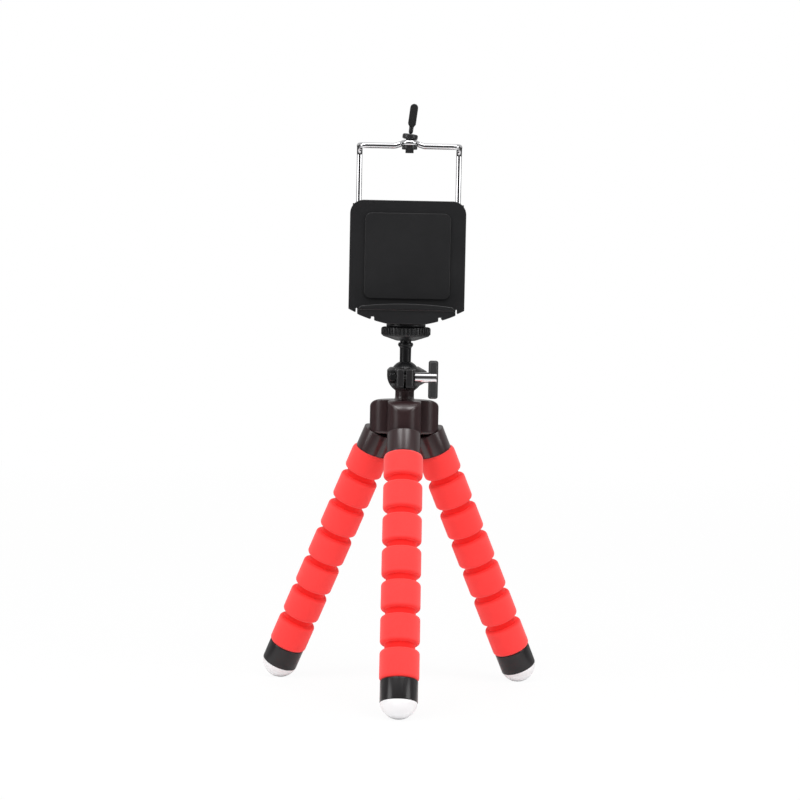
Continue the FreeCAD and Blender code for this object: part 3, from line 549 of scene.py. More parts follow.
def settled(obj: Object) -> None:
    """Turn an object's modifiers into plain mesh and remove them.

    Args:
        obj: the object.
    """
    bpy.context.view_layer.update()
    graph = bpy.context.evaluated_depsgraph_get()
    mesh = bpy.data.meshes.new_from_object(obj.evaluated_get(graph), depsgraph=graph)
    obj.modifiers.clear()
    obj.data = mesh
    mesh.name = obj.name


def grown(name: str, tree: NodeTree, values: dict[str, Any],
          start: bpy.types.Mesh | None = None, place: Matrix | None = None) -> Object:
    """Make a piece with a geometry tree and keep its plain mesh.

    Args:
        name: the piece's name.
        tree: the geometry tree.
        values: its inputs by name.
        start: the mesh it starts from, if it needs one.
        place: where the result goes in the row frame.

    Returns:
        The piece, with no modifier left.
    """
    obj = added(name, start or bpy.data.meshes.new(name))
    modifier = obj.modifiers.new("grow", "NODES")
    modifier.node_group = tree
    for item in tree.interface.items_tree:
        if item.item_type == "SOCKET" and item.in_out == "INPUT" and item.name in values:
            modifier[item.identifier] = values[item.name]
    settled(obj)
    if place is not None:
        obj.data.transform(place)
    return obj


def copied(name: str, node: str) -> Object:
    """Copy a CAD node's mesh and merge its loose triangles into a closed skin.

    Args:
        name: the new piece's name.
        node: the CAD node it copies.

    Returns:
        The new object.
    """
    skin = bmesh.new()
    skin.from_mesh(bpy.data.objects[node].data)
    bmesh.ops.remove_doubles(skin, verts=skin.verts, dist=MERGE_DISTANCE)
    mesh = bpy.data.meshes.new(name)
    skin.to_mesh(mesh)
    skin.free()
    mesh.materials.clear()
    return added(name, mesh)


def painted(obj: Object, look: Look) -> None:
    """Give a piece its finish.

    Args:
        obj: the piece.
        look: its finish.
    """
    finish = FINISHES[look]
    obj.data.materials.clear()
    obj.data.materials.append(finish.build())


def dressed(obj: Object, look: Look, body: str, nodes: Sequence[str] = ()) -> None:
    """Give a piece its finish, its body and the nodes it stands for.

    Args:
        obj: the piece.
        look: its finish.
        body: the CAD body it rides on.
        nodes: the CAD nodes it replaces.
    """
    painted(obj, look)
    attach(obj, body)
    if nodes:
        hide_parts(*nodes)
    LOG.info("piece %s rides on %s: %d faces", obj.name, body, len(obj.data.polygons))


def moulded(node: str, look: Look, body: str, edge: float = 0.12, free: bool = False) -> Object:
    """Break the sharp edges of a CAD node's copy, as a mould or a tumbler does.

    Args:
        node: the CAD node.
        look: its finish.
        body: its body.
        edge: width of the broken edges in millimetres.
        free: whether the edges keep that width next to small faces.

    Returns:
        The new piece, which replaces the node.
    """
    obj = copied(node + "_skin", node)
    flat = bmesh.new()
    flat.from_mesh(obj.data)
    bmesh.ops.dissolve_limit(
        flat, angle_limit=math.radians(FLAT_ANGLE), verts=flat.verts, edges=flat.edges
    )
    flat.to_mesh(obj.data)
    flat.free()
    bevel = obj.modifiers.new("edges", "BEVEL")
    bevel.width = edge * MM
    bevel.segments = EDGE_STEPS
    bevel.limit_method = "ANGLE"
    bevel.angle_limit = math.radians(EDGE_ANGLE)
    bevel.use_clamp_overlap = not free
    settled(obj)
    smooth(obj, SKIN_ANGLE)
    even = obj.modifiers.new("even", "WEIGHTED_NORMAL")
    even.keep_sharp = True
    settled(obj)
    dressed(obj, look, body, [node])
    return obj


def melted(node: str, look: Look, body: str, voxel: float, passes: int) -> Object:
    """Remesh a CAD node's copy finely and relax it, for soft or softly moulded forms.

    Args:
        node: the CAD node.
        look: its finish.
        body: its body.
        voxel: size of the new faces in millimetres.
        passes: how often the skin is relaxed.

    Returns:
        The new piece, which replaces the node.
    """
    obj = copied(node + "_skin", node)
    remesh = obj.modifiers.new("voxels", "REMESH")
    remesh.mode = "VOXEL"
    remesh.voxel_size = voxel * MM
    ease = obj.modifiers.new("ease", "SMOOTH")
    ease.factor = EASE
    ease.iterations = passes
    settled(obj)
    obj.data.shade_smooth()
    dressed(obj, look, body, [node])
    return obj


def plain(node: str, look: Look) -> None:
    """Keep a hidden CAD node's mesh and give it its finish.

    Args:
        node: the CAD node.
        look: its finish.
    """
    mesh = bpy.data.objects[node].data
    mesh.materials.clear()
    mesh.materials.append(FINISHES[look].build())
    LOG.info("node %s keeps its mesh", node)


# Geometry trees


def swept(sheet: Tree, path: Socket, sides: int, radius: Any, scale: Any = 1.0) -> Socket:
    """Sweep a circle along a path, closed at both ends.

    Args:
        sheet: the tree being made.
        path: the path's output.
        sides: facets round the circle.
        radius: the circle's radius.
        scale: its size along the path.

    Returns:
        The mesh output.
    """
    kind = "GeometryNodeCurvePrimitiveCircle"
    circle = sheet.add(kind, {"Resolution": sides, "Radius": radius}).outputs[0]
    return sheet.add("GeometryNodeCurveToMesh", {
        "Curve": path, "Profile Curve": circle, "Scale": scale, "Fill Caps": True,
    }).outputs[0]


def realized(sheet: Tree, geometry: Socket, material: Socket) -> None:
    """End a geometry tree: realize its instances and set its material.

    Args:
        sheet: the tree being made.
        geometry: its result.
        material: the material's output.
    """
    real = sheet.add("GeometryNodeRealizeInstances", {0: geometry})
    shaded = sheet.add("GeometryNodeSetMaterial", {"Geometry": real.outputs[0], "Material": material})
    sheet.add("NodeGroupOutput", {0: shaded.outputs[0]})


@shared("foam_barrel", "GeometryNodeTree")
def barrel_tree(sheet: Tree) -> None:
    """A foam barrel: a rod whose radius rounds off over a shoulder at each end.

    Args:
        sheet: the geometry tree.
    """
    steps = 56
    sheet.declare("INPUT", "Float", "Length", "Top Radius", "Bottom Radius", "End Radius")
    sheet.declare("INPUT", "Float", "Top Shoulder", "Bottom Shoulder")
    sheet.declare("INPUT", "Material", "Material")
    sheet.declare("OUTPUT", "Geometry", "Geometry")
    given = sheet.add("NodeGroupInput").outputs
    down = sheet.add("ShaderNodeCombineXYZ", {2: sheet.math("MULTIPLY", given["Length"], -1.0)})
    axis = sheet.add("GeometryNodeCurvePrimitiveLine", {"End": down.outputs[0]})
    fine = sheet.add("GeometryNodeResampleCurve", {"Curve": axis.outputs[0], "Count": steps})
    along = sheet.add("GeometryNodeSplineParameter").outputs["Length"]
    from_bottom = sheet.math("SUBTRACT", given["Length"], along)
    rounds = []
    for distance, shoulder in ((along, "Top Shoulder"), (from_bottom, "Bottom Shoulder")):
        passed = sheet.math("DIVIDE", distance, given[shoulder])
        share = sheet.math("SUBTRACT", 1.0, passed, clamp=True)
        square = sheet.math("MULTIPLY", share, share)
        rounds.append(sheet.math("SQRT", sheet.math("SUBTRACT", 1.0, square)))
    taper = sheet.add("ShaderNodeMix", {
        0: sheet.math("DIVIDE", along, given["Length"]),
        2: given["Top Radius"], 3: given["Bottom Radius"],
    }).outputs[0]
    swell = sheet.math("SUBTRACT", taper, given["End Radius"])
    rise = sheet.math("MULTIPLY", swell, sheet.math("MULTIPLY", *rounds))
    radius = sheet.math("ADD", given["End Radius"], rise)
    realized(sheet, swept(sheet, fine.outputs[0], FOAM_SIDES, 1.0, radius), given["Material"])


@shared("bent_rod", "GeometryNodeTree")
def rod_tree(sheet: Tree) -> None:
    """A bent rod: edges become a curve, its corners are rounded, and a circle runs along it.

    Args:
        sheet: the geometry tree.
    """
    bend_steps, sides = 14, 28
    sheet.declare("INPUT", "Geometry", "Route")
    sheet.declare("INPUT", "Float", "Rod Radius")
    sheet.declare("INPUT", "Material", "Material")
    sheet.declare("OUTPUT", "Geometry", "Geometry")
    given = sheet.add("NodeGroupInput").outputs
    curve = sheet.add("GeometryNodeMeshToCurve", {0: given["Route"]})
    bend = sheet.add("GeometryNodeInputNamedAttribute", {"Name": "bend"}, data_type="FLOAT")
    rounded = sheet.add("GeometryNodeFilletCurve", {
        "Curve": curve.outputs[0], "Radius": bend.outputs[0], "Count": bend_steps,
        "Limit Radius": True,
    }, mode="POLY")
    skin = swept(sheet, rounded.outputs[0], sides, given["Rod Radius"])
    realized(sheet, skin, given["Material"])


@shared("rib_ring", "GeometryNodeTree")
def rib_tree(sheet: Tree) -> None:
    """Ribs round a wheel: one rounded rib set on each point of a circle.

    Args:
        sheet: the geometry tree.
    """
    steps, sides = 9, 8
    end_power, end_share = 6.0, 0.2
    sheet.declare("INPUT", "Int", "Count")
    sheet.declare("INPUT", "Float", "Ring Radius", "Rib Radius", "Rib Height")
    sheet.declare("INPUT", "Material", "Material")
    sheet.declare("OUTPUT", "Geometry", "Geometry")
    given = sheet.add("NodeGroupInput").outputs
    ring = sheet.add("GeometryNodeMeshCircle", {
        "Vertices": given["Count"], "Radius": given["Ring Radius"],
    })
    low, high = (
        sheet.add("ShaderNodeCombineXYZ", {2: sheet.math("MULTIPLY", given["Rib Height"], half)})
        for half in (-0.5, 0.5)
    )
    axis = sheet.add("GeometryNodeCurvePrimitiveLine", {
        "Start": low.outputs[0], "End": high.outputs[0],
    })
    fine = sheet.add("GeometryNodeResampleCurve", {"Curve": axis.outputs[0], "Count": steps})
    along = sheet.add("GeometryNodeSplineParameter").outputs["Factor"]
    doubled = sheet.math("MULTIPLY", along, 2.0)
    off_centre = sheet.math("ABSOLUTE", sheet.math("SUBTRACT", doubled, 1.0))
    lost = sheet.math("POWER", off_centre, end_power)
    fade = sheet.math("SQRT", sheet.math("SUBTRACT", 1.0, lost, clamp=True))
    shaped = sheet.math("MULTIPLY", given["Rib Radius"], sheet.math("MAXIMUM", fade, end_share))
    rib = swept(sheet, fine.outputs[0], sides, 1.0, shaped)
    placed = sheet.add("GeometryNodeInstanceOnPoints", {"Points": ring.outputs[0], "Instance": rib})
    realized(sheet, placed.outputs[0], given["Material"])


# Sub-assemblies


@dataclass
class FoamLeg:
    """One leg: cap, foam barrels, grooves, end ring and foot."""

    side: Side
    top_radius: float = 8.6
    bottom_radius: float = 8.55
    taper: float = 0.1  # how much of the leg's taper one barrel shows
    groove: float = 2.8
    neck: float = 6.6  # radius at the bottom of a groove
    neck_lap: float = 0.35  # how far a neck reaches into each barrel
    neck_flare: float = 0.55
    first_shoulder: float = 2.2
    shoulder: float = 1.5
    end_radius: float = 7.2  # radius where a shoulder meets the groove
    first_lip: float = 0.05  # how far its top stands out over the cap
    shade_depth: float = 0.9  # depth at which the painted shade in a groove is darkest
    top_gap: float = 0.12  # room under the cap
    last_length: float = 14.4  # from the last groove's middle to the end ring
    ring_length: float = 9.6
    ring_radius: float = 8.1
    ring_edge: float = 0.4
    foot_skirt: float = 0.4
    foot_radius: float = 8.1
    foot_base: float = 7.9  # radius of the foot at the ring
    foot_plug: float = 0.5  # how far the foot reaches into the ring
    cap_radius: float = 7.4
    cap_length: float = 9.9
    cap_edge: float = 0.35
    cap_skirt: float = 4.4  # how far it reaches into the foam
    cap_tip: float = 0.72  # radius of that end, over the cap's
    centres: list[Vector] = field(init=False)  # of the sweep and the bends, downwards
    axes: Matrix = field(init=False)  # the leg's own axes

    def read_joints(self, joints: list[dict[str, Any]]) -> None:
        """Take the bend centres and the leg's own axes from the frame's joints.

        Args:
            joints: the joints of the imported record.
        """
        mine = {j["name"]: j for j in joints if j["name"].startswith(self.side.value + "_leg_")}
        bends = sorted(name for name in mine if "_bend_" in name)
        self.centres = [Vector(mine[self.side.value + "_leg_sweep"]["pos_m"])]
        self.centres += [Vector(mine[name]["pos_m"]) for name in bends]
        up = (self.centres[0] - self.centres[-1]).normalized()
        across = Vector(mine[bends[0]]["axis"]).normalized()
        self.axes = Matrix((across, up.cross(across), up)).transposed().to_4x4()

    def at(self, centre: Vector) -> Matrix:
        """Set the leg's own axes at a point of its middle line."""
        return Matrix.Translation(centre) @ self.axes

    def body(self, index: int) -> str:
        """Name the CAD body of a barrel, counted from 0."""
        return f"{self.side.value}_leg_{index + 1}"

    def barrels(self) -> None:
        """Make the foam barrels with the geometry tree."""
        count = len(self.centres)
        narrowing = self.bottom_radius - self.top_radius
        for i in range(count):
            share = i / (count - 1)
            radius = self.top_radius + narrowing * share
            first, last = i == 0, i == count - 1
            top = self.top_gap if first else self.groove / 2
            if last:
                length = self.last_length - top
            else:
                pitch = (self.centres[i + 1] - self.centres[i]).length / MM
                length = pitch - top - self.groove / 2
            sizes = {
                "Length": length, "Top Radius": radius,
                "Bottom Radius": self.top_radius + narrowing * min(1.0, share + self.taper),
                "End Radius": self.cap_radius + self.first_lip if first else self.end_radius,
                "Top Shoulder": self.first_shoulder if first else self.shoulder,
                "Bottom Shoulder": self.shoulder,
            }
            values = {name: size * MM for name, size in sizes.items()}
            down = Matrix.Translation(Vector((0, 0, -top * MM)))
            obj = grown(
                f"{self.side.value}_foam_{i + 1}", barrel_tree(),
                {**values, "Material": FINISHES[Look.FOAM].build()},
                place=self.at(self.centres[i]) @ down,
            )
            smooth(obj, LONG_ANGLE)
            self.shade(obj, self.centres[i], radius, -self.first_shoulder if first else self.groove)
            dressed(obj, Look.FOAM, self.body(i), [f"{self.side.value}_leg_segment_{i + 1}"])

    def shade(self, obj: Object, centre: Vector, radius: float, height: float) -> None:
        """Mark how deep each point lies in a groove, for the painted shade in the grooves.

        Args:
            obj: the piece.
            centre: the bend centre that it is set at.
            radius: radius of the foam there.
            height: nothing above this height over the centre is marked.
        """
        local = self.at(centre).inverted()
        depths = []
        for vertex in obj.data.vertices:
            place = local @ vertex.co / MM
            depth = (radius - math.hypot(place.x, place.y)) / self.shade_depth
            depths.append(min(1.0, max(0.0, depth)) if place.z < height else 0.0)
        soil(obj, "POINT", depths)

    def grooves(self) -> None:
        """Make the necks between the barrels; they are fixed in place and do not follow the barrels'
        bends.
        """
        steps, flare_power = 12, 4
        half = self.groove / 2
        reach = half + self.neck_lap
        profile = [(0.0, -reach)]
        for i in range(steps + 1):
            z = -reach + 2 * reach * i / steps
            profile.append((self.neck + self.neck_flare * (abs(z) / reach) ** flare_power, z))
        profile.append((0.0, reach))
        for i, centre in enumerate(self.centres[1:]):
            name = f"{self.side.value}_groove_{i + 1}"
            obj = lathe(name, profile, self.at(centre), FOAM_SIDES)
            self.shade(obj, centre, self.top_radius, self.groove)
            painted(obj, Look.FOAM)
            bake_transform(obj)

    def cap(self) -> None:
        """Make the black cap that carries the foam."""
        edge = soften([
            (0.0, self.cap_length), (self.cap_radius, self.cap_length), (self.cap_radius, 0.0),
            (self.cap_tip * self.cap_radius, -self.cap_skirt), (0.0, -self.cap_skirt),
        ], self.cap_edge)
        obj = lathe(f"{self.side.value}_cap_skin", edge, self.at(self.centres[0]))
        dressed(obj, Look.GLOSS_BLACK, "hub", [f"{self.side.value}_leg_cap"])

    def end(self) -> None:
        """Make the black end ring."""
        top = -self.last_length
        base = top - self.ring_length
        ring = soften([
            (0.0, top), (self.ring_radius, top), (self.ring_radius, base), (0.0, base),
        ], self.ring_edge)
        obj = lathe(f"{self.side.value}_ring_skin", ring, self.at(self.centres[-1]))
        body = self.body(len(self.centres) - 1)
        dressed(obj, Look.RING_BLACK, body, [f"{self.side.value}_leg_ring"])

    def foot(self) -> None:
        """Turn the white foot and press its underside flat on the ground."""
        steps = 32
        base = -self.last_length - self.ring_length
        drop = math.sqrt(self.foot_radius**2 - self.foot_base**2)
        middle = base - self.foot_skirt + drop
        start = math.asin(drop / self.foot_radius)
        plug = base + self.foot_plug
        dome = [(0.0, plug), (self.foot_base, plug)]
        for i in range(steps + 1):
            a = start + (math.pi / 2 - start) * i / steps
            dome.append((self.foot_radius * math.cos(a), middle - self.foot_radius * math.sin(a)))
        obj = lathe(f"{self.side.value}_foot_skin", dome, self.at(self.centres[-1]))
        for vertex in obj.data.vertices:
            vertex.co.z = max(vertex.co.z, 0.0)
        body = self.body(len(self.centres) - 1)
        dressed(obj, Look.WHITE_RUBBER, body, [f"{self.side.value}_leg_foot"])

    def build(self) -> None:
        """Make the whole leg."""
        self.cap()
        self.barrels()
        self.grooves()
        self.end()
        self.foot()


@dataclass
class Hub:
    """The lobed hub with its ball socket, and what is fixed to it."""

    voxel: float = 0.28
    passes: int = 3
    neutral_from: float = 6.8  # depth under the clamp screw where the painted red bounce light from the foam starts to fade to grey
    neutral_over: float = 1.8

    def build(self) -> None:
        """Dress the hub and its small parts."""
        hub = melted("hub", Look.GLOSS_BLACK, "hub", self.voxel, self.passes)
        # painted red bounce light: the hub stays red-brown low down and turns neutral grey up the
        # ears
        low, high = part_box("clamp_screw")
        start = (low.z + high.z) / 2 - self.neutral_from * MM
        rises = ((v.co.z - start) / MM / self.neutral_over for v in hub.data.vertices)
        soil(hub, "POINT", [min(1.0, max(0.0, rise)) for rise in rises])
        moulded("base_plate", Look.SATIN_BLACK, "hub", edge=0.2)
        moulded("base_screw", Look.STEEL, "hub", edge=0.1)
        moulded("clamp_nut", Look.BLACKENED, "hub", edge=0.15)
        plain("armature_roots", Look.STEEL)


@dataclass
class BallHead:
    """Ball, stem and collar, the screw above them, and the clamp screw with its T handle."""

    ball_radius: float = 6.5
    ball_cut: float = 0.8  # where it is cut flat, over its radius
    ball_steps: int = 40
    stem_radius: float = 2.5
    stem_swell: float = 0.05
    collar_radius: float = 3.4
    collar_rise: float = 13.1
    collar_height: float = 1.4
    collar_cone: float = 0.9
    collar_edge: Point = (0.1, 0.25)  # how far its underside and top draw in
    neck_height: float = 1.3
    rounding: float = 0.35
    shank_length: float = 9.65  # bright part of the clamp screw, from its end

    def stud(self) -> None:
        """Make the ball stud as one turned part."""
        low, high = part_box("ball_stud")
        centre = Vector(((low.x + high.x) / 2, (low.y + high.y) / 2, high.z))
        collar_top = self.collar_rise + self.collar_height
        rise = collar_top + self.neck_height
        place = Matrix.Translation(centre - Vector((0, 0, rise * MM)))
        bottom = -math.asin(self.ball_cut)
        top = math.acos(self.stem_radius / self.ball_radius)
        flat = -self.ball_cut * self.ball_radius
        profile = [(0.0, flat), (math.cos(bottom) * self.ball_radius, flat)]
        for i in range(1, self.ball_steps):
            a = bottom + (top - bottom) * i / self.ball_steps
            profile.append((self.ball_radius * math.cos(a), self.ball_radius * math.sin(a)))
        under, over = self.collar_edge
        shaft = soften([
            (self.stem_radius, self.ball_radius * math.sin(top)),
            (self.stem_radius + self.stem_swell, self.collar_rise - self.collar_cone),
            (self.collar_radius - under, self.collar_rise),
            (self.collar_radius, self.collar_rise + 0.5 * self.collar_height),
            (self.collar_radius - over, collar_top),
            (self.stem_radius, collar_top),
            (self.stem_radius, rise),
            (0.0, rise),
        ], self.rounding)
        obj = lathe("ball_stud_skin", profile + shaft, place)
        dressed(obj, Look.BLACK_METAL, "ball_stud", ["ball_stud"])

    def screw(self) -> None:
        """Dress the clamp screw: bright shank, and painted shade on the thread inside the ears."""
        obj = moulded("clamp_screw", Look.CHROME, "clamp_screw", edge=0.12)
        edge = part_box("clamp_screw")[1].x - self.shank_length * MM
        soil(obj, "FACE", [float(face.center.x < edge) for face in obj.data.polygons])

    def build(self) -> None:
        """Dress the ball head."""
        self.stud()
        plain("ball_seat", Look.NYLON)
        moulded("camera_screw", Look.STEEL, "ball_stud", edge=0.1)
        self.screw()
        melted("clamp_handle", Look.GREY_PLASTIC, "clamp_screw", voxel=0.14, passes=14)


@dataclass
class LockingWheel:
    """Knurled wheel with its coned underside, insert and washer."""

    rim_radius: float = 11.0
    rib_radius: float = 0.5
    ribs: int = 40
    rib_inset: float = 0.5
    rim_height: float = 4.0
    rim_edge: Point = (0.5, 0.3)  # how far its top draws in, and from where
    cone_height: float = 2.2
    cone_top: float = 10.2
    cone_bottom: float = 4.0
    cone_edge: Point = (0.2, 0.4)  # how far under and over its top it is cut
    bore: float = 3.3
    rounding: float = 0.4

    def build(self) -> None:
        """Make the wheel's core and its ribs, and dress its insert and washer."""
        low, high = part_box("locking_wheel")
        place = Matrix.Translation(Vector(((low.x + high.x) / 2, (low.y + high.y) / 2, low.z)))
        core = self.rim_radius - self.rib_radius
        top = self.cone_height + self.rim_height
        inward, edge = self.rim_edge
        under, over = self.cone_edge
        outline = soften([
            (self.bore, 0.0), (self.cone_bottom, 0.0), (self.cone_top, self.cone_height - under),
            (core, self.cone_height + over), (core, top - edge), (core - inward, top),
            (self.bore, top),
        ], self.rounding)
        obj = lathe("wheel_core", outline, place)
        dressed(obj, Look.SATIN_BLACK, "locking_wheel", ["locking_wheel"])
        middle = Vector((0, 0, (self.cone_height + self.rim_height / 2) * MM))
        ribs = grown("wheel_ribs", rib_tree(), {
            "Count": self.ribs, "Ring Radius": core * MM, "Rib Radius": self.rib_radius * MM,
            "Rib Height": (self.rim_height - self.rib_inset) * MM,
            "Material": FINISHES[Look.SATIN_BLACK].build(),
        }, place=place @ Matrix.Translation(middle))
        ribs.data.shade_smooth()
        dressed(ribs, Look.SATIN_BLACK, "locking_wheel")
        moulded("wheel_insert", Look.BRASS, "locking_wheel", edge=0.1)
        moulded("wheel_washer", Look.SATIN_BLACK, "wheel_washer", edge=0.3)


@dataclass
class DeviceClamp:
    """Base, lip and housing of the clamp, its cover, pads, springs and inserts."""

    edge: float = 0.3  # width of the base's broken edges
    end_coil: float = 1.5  # height of a spring's last coil, which doesn't give

    def springs(self) -> None:
        """Dress the return springs, which give between the housing and the crosshead; this copy is
        fixed in place and does not stretch.
        """
        obj = copied("return_springs_skin", "return_springs")
        smooth(obj, SKIN_ANGLE)
        painted(obj, Look.STEEL)
        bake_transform(obj)
        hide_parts("return_springs")

    def build(self) -> None:
        """Dress the clamp's parts."""
        body = "device_clamp"
        moulded("clamp_body", Look.SATIN_BLACK, body, self.edge, free=True)
        moulded("back_cover", Look.SATIN_BLACK, body, edge=0.2)
        moulded("cover_screws", Look.STEEL, body, edge=0.12)
        moulded("seat_pad", Look.BLACK_RUBBER, body, edge=0.15)
        moulded("grip_pad", Look.BLACK_RUBBER, body, edge=0.2)
        plain("nut_insert", Look.BRASS)
        self.springs()


@dataclass
class WireJaw:
    """The bent wire with its bumper and finger tab, and the crosshead it ends in."""

    rod_radius: float = 1.25
    leg_offset: float = 22.15  # from the middle to each upright
    leg_back: float = 6.6  # how far the uprights stand behind the middle
    bar_front: float = 2.5  # how far the bars stand before it
    upper_bend: float = 4.0
    corner_bend: float = 3.0
    step_bend: float = 1.4
    loop_half_width: float = 3.0
    loop_depth: float = 6.0
    loop_rise: float = 1.1
    loop_approach: float = 6.5  # where the bars start to rise, from the middle
    loop_slack: float = 0.05  # how much tighter its far bend is than half its width

    def wire(self) -> None:
        """Make the wire with the rod tree."""
        low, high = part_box("wire_jaw")
        back = high.y - (self.leg_back + self.rod_radius) * MM
        axis = Vector(((low.x + high.x) / 2, back, 0))
        loop_z = high.z / MM - self.rod_radius
        bar_z = loop_z - self.loop_rise
        front = -self.bar_front
        out, near, loop = -self.leg_offset, -self.loop_approach, -self.loop_half_width
        far_bend = self.loop_half_width - self.loop_slack
        half = [
            ((out, self.leg_back, low.z / MM), 0.0),
            ((out, self.leg_back, bar_z), self.upper_bend),
            ((out, front, bar_z), self.corner_bend),
            ((near, front, bar_z), self.corner_bend),
            ((loop, front, loop_z), self.step_bend),
            ((loop, front - self.loop_depth, loop_z), far_bend),
        ]
        route = half + [((-x, y, z), bend) for (x, y, z), bend in reversed(half)]
        mesh = bpy.data.meshes.new("wire_route")
        edges = [(i, i + 1) for i in range(len(route) - 1)]
        mesh.from_pydata([axis + Vector(p) * MM for p, _ in route], edges, [])
        bends = mesh.attributes.new("bend", "FLOAT", "POINT")
        bends.data.foreach_set("value", [bend * MM for _, bend in route])
        obj = grown("wire_skin", rod_tree(), {
            "Rod Radius": self.rod_radius * MM, "Material": FINISHES[Look.CHROME].build(),
        }, start=mesh)
        smooth(obj, LONG_ANGLE)
        dressed(obj, Look.CHROME, "wire_jaw", ["wire_jaw"])

    def build(self) -> None:
        """Make the wire and dress the rest."""
        self.wire()
        melted("bumper", Look.BLACK_RUBBER, "wire_jaw", voxel=0.12, passes=5)
        melted("pull_tab", Look.BLACK_RUBBER, "pull_tab", voxel=0.12, passes=30)
        plain("crosshead", Look.SATIN_BLACK)


# Studio


@dataclass(frozen=True)
class Lamp:
    """One soft square lamp."""

    name: str
    turn: float  # degrees to the right of the camera
    rise: float
    distance: float
    side: float
    power: float
    mirrored: bool = True  # whether it shows in reflections

    def hang(self, target: Vector) -> None:
        """Hang the lamp and point it.

        Args:
            target: the point that it faces.
        """
        data = bpy.data.lights.new(self.name, "AREA")
        data.shape = "SQUARE"
        data.size = self.side
        data.energy = self.power
        azimuth, elevation = math.radians(self.turn), math.radians(self.rise)
        away = Vector((math.sin(azimuth), -math.cos(azimuth), 0)) * math.cos(elevation)
        away.z = math.sin(elevation)
        place = target + away * self.distance
        lamp = added(self.name, data)
        lamp.location = place
        lamp.rotation_mode = "QUATERNION"
        lamp.rotation_quaternion = (target - place).to_track_quat("-Z", "Y")
        lamp.visible_glossy = self.mirrored


LAMPS = (
    Lamp("key_left", -40, 56, 1.2, 0.55, 4.6),
    Lamp("key_right", 36, 56, 1.2, 0.55, 4.6),
    Lamp("top", 0, 72, 1.2, 1.2, 4.0),
    Lamp("side_left", -60, 12, 1.15, 0.5, 2.8),
    Lamp("side_right", 60, 12, 1.15, 0.5, 2.8),
    Lamp("back", 180, 45, 1.3, 0.7, 3.0, mirrored=False),
)


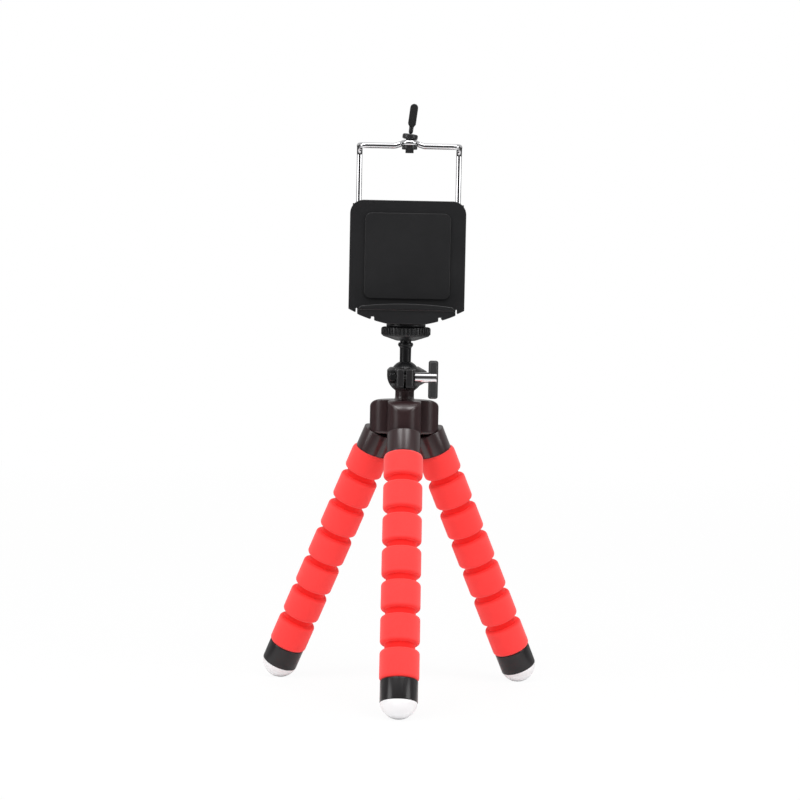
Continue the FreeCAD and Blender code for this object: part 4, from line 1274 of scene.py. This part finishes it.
@dataclass
class Studio:
    """Camera, lamps, world and floor."""

    distance: float = 1000.0
    pitch: float = 3.17  # degrees that it looks down
    roll: float = 1.15  # degrees that the picture leans
    aim: tuple[float, float, float] = (-2.0, 0.0, 130.7)  # from the post's foot
    focal_pixels: float = 2245.1  # focal length in pixels
    frame_pixels: int = 800
    sensor_width: float = 36.0
    clip: Point = (0.05, 50.0)
    lamp_height: float = 130.0  # of the point that the lamps face
    band_rise: float = 0.1  # sine of the elevation of the dim band's middle
    band_half: float = 0.35
    band_edge: float = 0.25
    band_light: float = 0.06
    band_behind: Point = (-0.25, 0.35)  # depths over which it ends
    room_light: float = 0.5  # how light the rest of the room is in reflections
    fill_light: float = 0.38  # how much it lights matte surfaces
    floor_tone: float = 0.86
    dark_floor: Point = (0.12, 0.4)  # metres out over which reflections of the floor darken
    dark_most: float = 0.93
    floor_white: float = 0.93  # how far it is white whatever falls on it, near the middle
    white_over: Point = (0.2, 1.2)  # metres out over which it turns all white
    floor_reach: float = 30.0

    def camera(self, post: Vector) -> None:
        """Set the camera at the photograph's angle.

        Args:
            post: the post's axis on the ground.
        """
        data = bpy.data.cameras.new("camera")
        data.sensor_width = self.sensor_width
        data.lens = self.focal_pixels / self.frame_pixels * self.sensor_width
        data.clip_start, data.clip_end = self.clip
        camera = added("camera", data)
        target = post + Vector(self.aim) * MM
        pitch = math.radians(self.pitch)
        back = Vector((0, -math.cos(pitch), math.sin(pitch)))
        turn = (-back).to_track_quat("-Z", "Y").to_matrix().to_4x4()
        lean = Matrix.Rotation(math.radians(self.roll), 4, "Z")
        camera.matrix_world = Matrix.Translation(target + back * self.distance * MM) @ turn @ lean
        bpy.context.scene.camera = camera

    def world(self) -> None:
        """White to the camera; to reflections a pale room, dim at eye level in front."""
        world = bpy.data.worlds.new("studio")
        world.use_nodes = True
        bpy.context.scene.world = world
        world.node_tree.nodes.clear()
        sheet = Tree(world.node_tree)
        path = sheet.add("ShaderNodeLightPath").outputs
        ray = sheet.add("ShaderNodeTexCoord").outputs["Generated"]
        _, depth, rise = sheet.add("ShaderNodeSeparateXYZ", {0: ray}).outputs
        apart = sheet.math("ABSOLUTE", sheet.math("SUBTRACT", rise, self.band_rise))
        level = sheet.ramp(apart, (self.band_half, self.band_half + self.band_edge), 1.0, 0.0)
        front = sheet.ramp(depth, self.band_behind, 1.0, 0.0)
        dimmed = self.room_light - self.band_light
        dark = sheet.math("MULTIPLY", sheet.math("MULTIPLY", level, front), dimmed)
        room = sheet.math("SUBTRACT", self.room_light, dark)
        mirrored = sheet.math("MAXIMUM", path["Is Glossy Ray"], path["Is Transmission Ray"])
        shown = sheet.math("MULTIPLY", mirrored, room)
        strength = sheet.math("MAXIMUM", path["Is Camera Ray"], shown)
        diffuse = sheet.math("MULTIPLY", path["Is Diffuse Ray"], self.fill_light)
        light = sheet.add("ShaderNodeBackground", {
            "Color": (1, 1, 1, 1), "Strength": sheet.math("MAXIMUM", strength, diffuse),
        })
        sheet.add("ShaderNodeOutputWorld", {"Surface": light.outputs[0]})

    def floor(self) -> None:
        """A white floor that keeps the object's shadow."""
        shell = bmesh.new()
        reach = self.floor_reach
        ends = ((-reach, -reach), (reach, -reach), (reach, reach), (-reach, reach))
        shell.faces.new([shell.verts.new((x, y, 0)) for x, y in ends])
        floor = finished("floor", shell)
        material = bpy.data.materials.new("pale_floor")
        material.use_nodes = True
        material.node_tree.nodes.clear()
        sheet = Tree(material.node_tree)
        path = sheet.add("ShaderNodeLightPath").outputs
        seen = sheet.math("MAXIMUM", path["Is Camera Ray"], path["Is Transmission Ray"])
        glow = sheet.add("ShaderNodeEmission", {"Color": (1, 1, 1, 1), "Strength": 1.0})
        place = sheet.add("ShaderNodeTexCoord").outputs["Object"]
        length = sheet.add("ShaderNodeVectorMath", {0: place}, operation="LENGTH")
        apart = length.outputs["Value"]
        far = sheet.ramp(apart, self.dark_floor, 0.0, self.dark_most)
        shade = sheet.math("MULTIPLY", far, path["Is Glossy Ray"])
        tone = sheet.math("MULTIPLY", sheet.math("SUBTRACT", 1.0, shade), self.floor_tone)
        grey = sheet.add("ShaderNodeCombineXYZ", {0: tone, 1: tone, 2: tone}).outputs[0]
        matte = sheet.add("ShaderNodeBsdfDiffuse", {"Color": grey})
        share = sheet.ramp(apart, self.white_over, self.floor_white, 1.0)
        both = sheet.add("ShaderNodeMixShader", {
            0: sheet.math("MULTIPLY", seen, share), 1: matte.outputs[0], 2: glow.outputs[0],
        })
        sheet.add("ShaderNodeOutputMaterial", {"Surface": both.outputs[0]})
        floor.data.materials.append(material)

    def build(self, post: Vector) -> None:
        """Set up the whole studio.

        Args:
            post: the post's axis on the ground.
        """
        self.camera(post)
        self.world()
        self.floor()
        for lamp in LAMPS:
            lamp.hang(post + Vector((0, 0, self.lamp_height * MM)))
        bpy.context.scene.view_settings.view_transform = "Standard"


def main() -> None:
    """Load the frame, make every sub-assembly, and set up the studio."""
    logging.basicConfig(level=logging.INFO, format="%(message)s", stream=sys.stdout)
    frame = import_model()
    low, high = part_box("camera_screw")
    post = Vector(((low.x + high.x) / 2, (low.y + high.y) / 2, 0))
    for side in Side:
        leg = FoamLeg(side)
        leg.read_joints(frame["joints"])
        leg.build()
    for part in (Hub(), BallHead(), LockingWheel(), DeviceClamp(), WireJaw()):
        part.build()
    Studio().build(post)


if __name__ == "__main__":
    main()
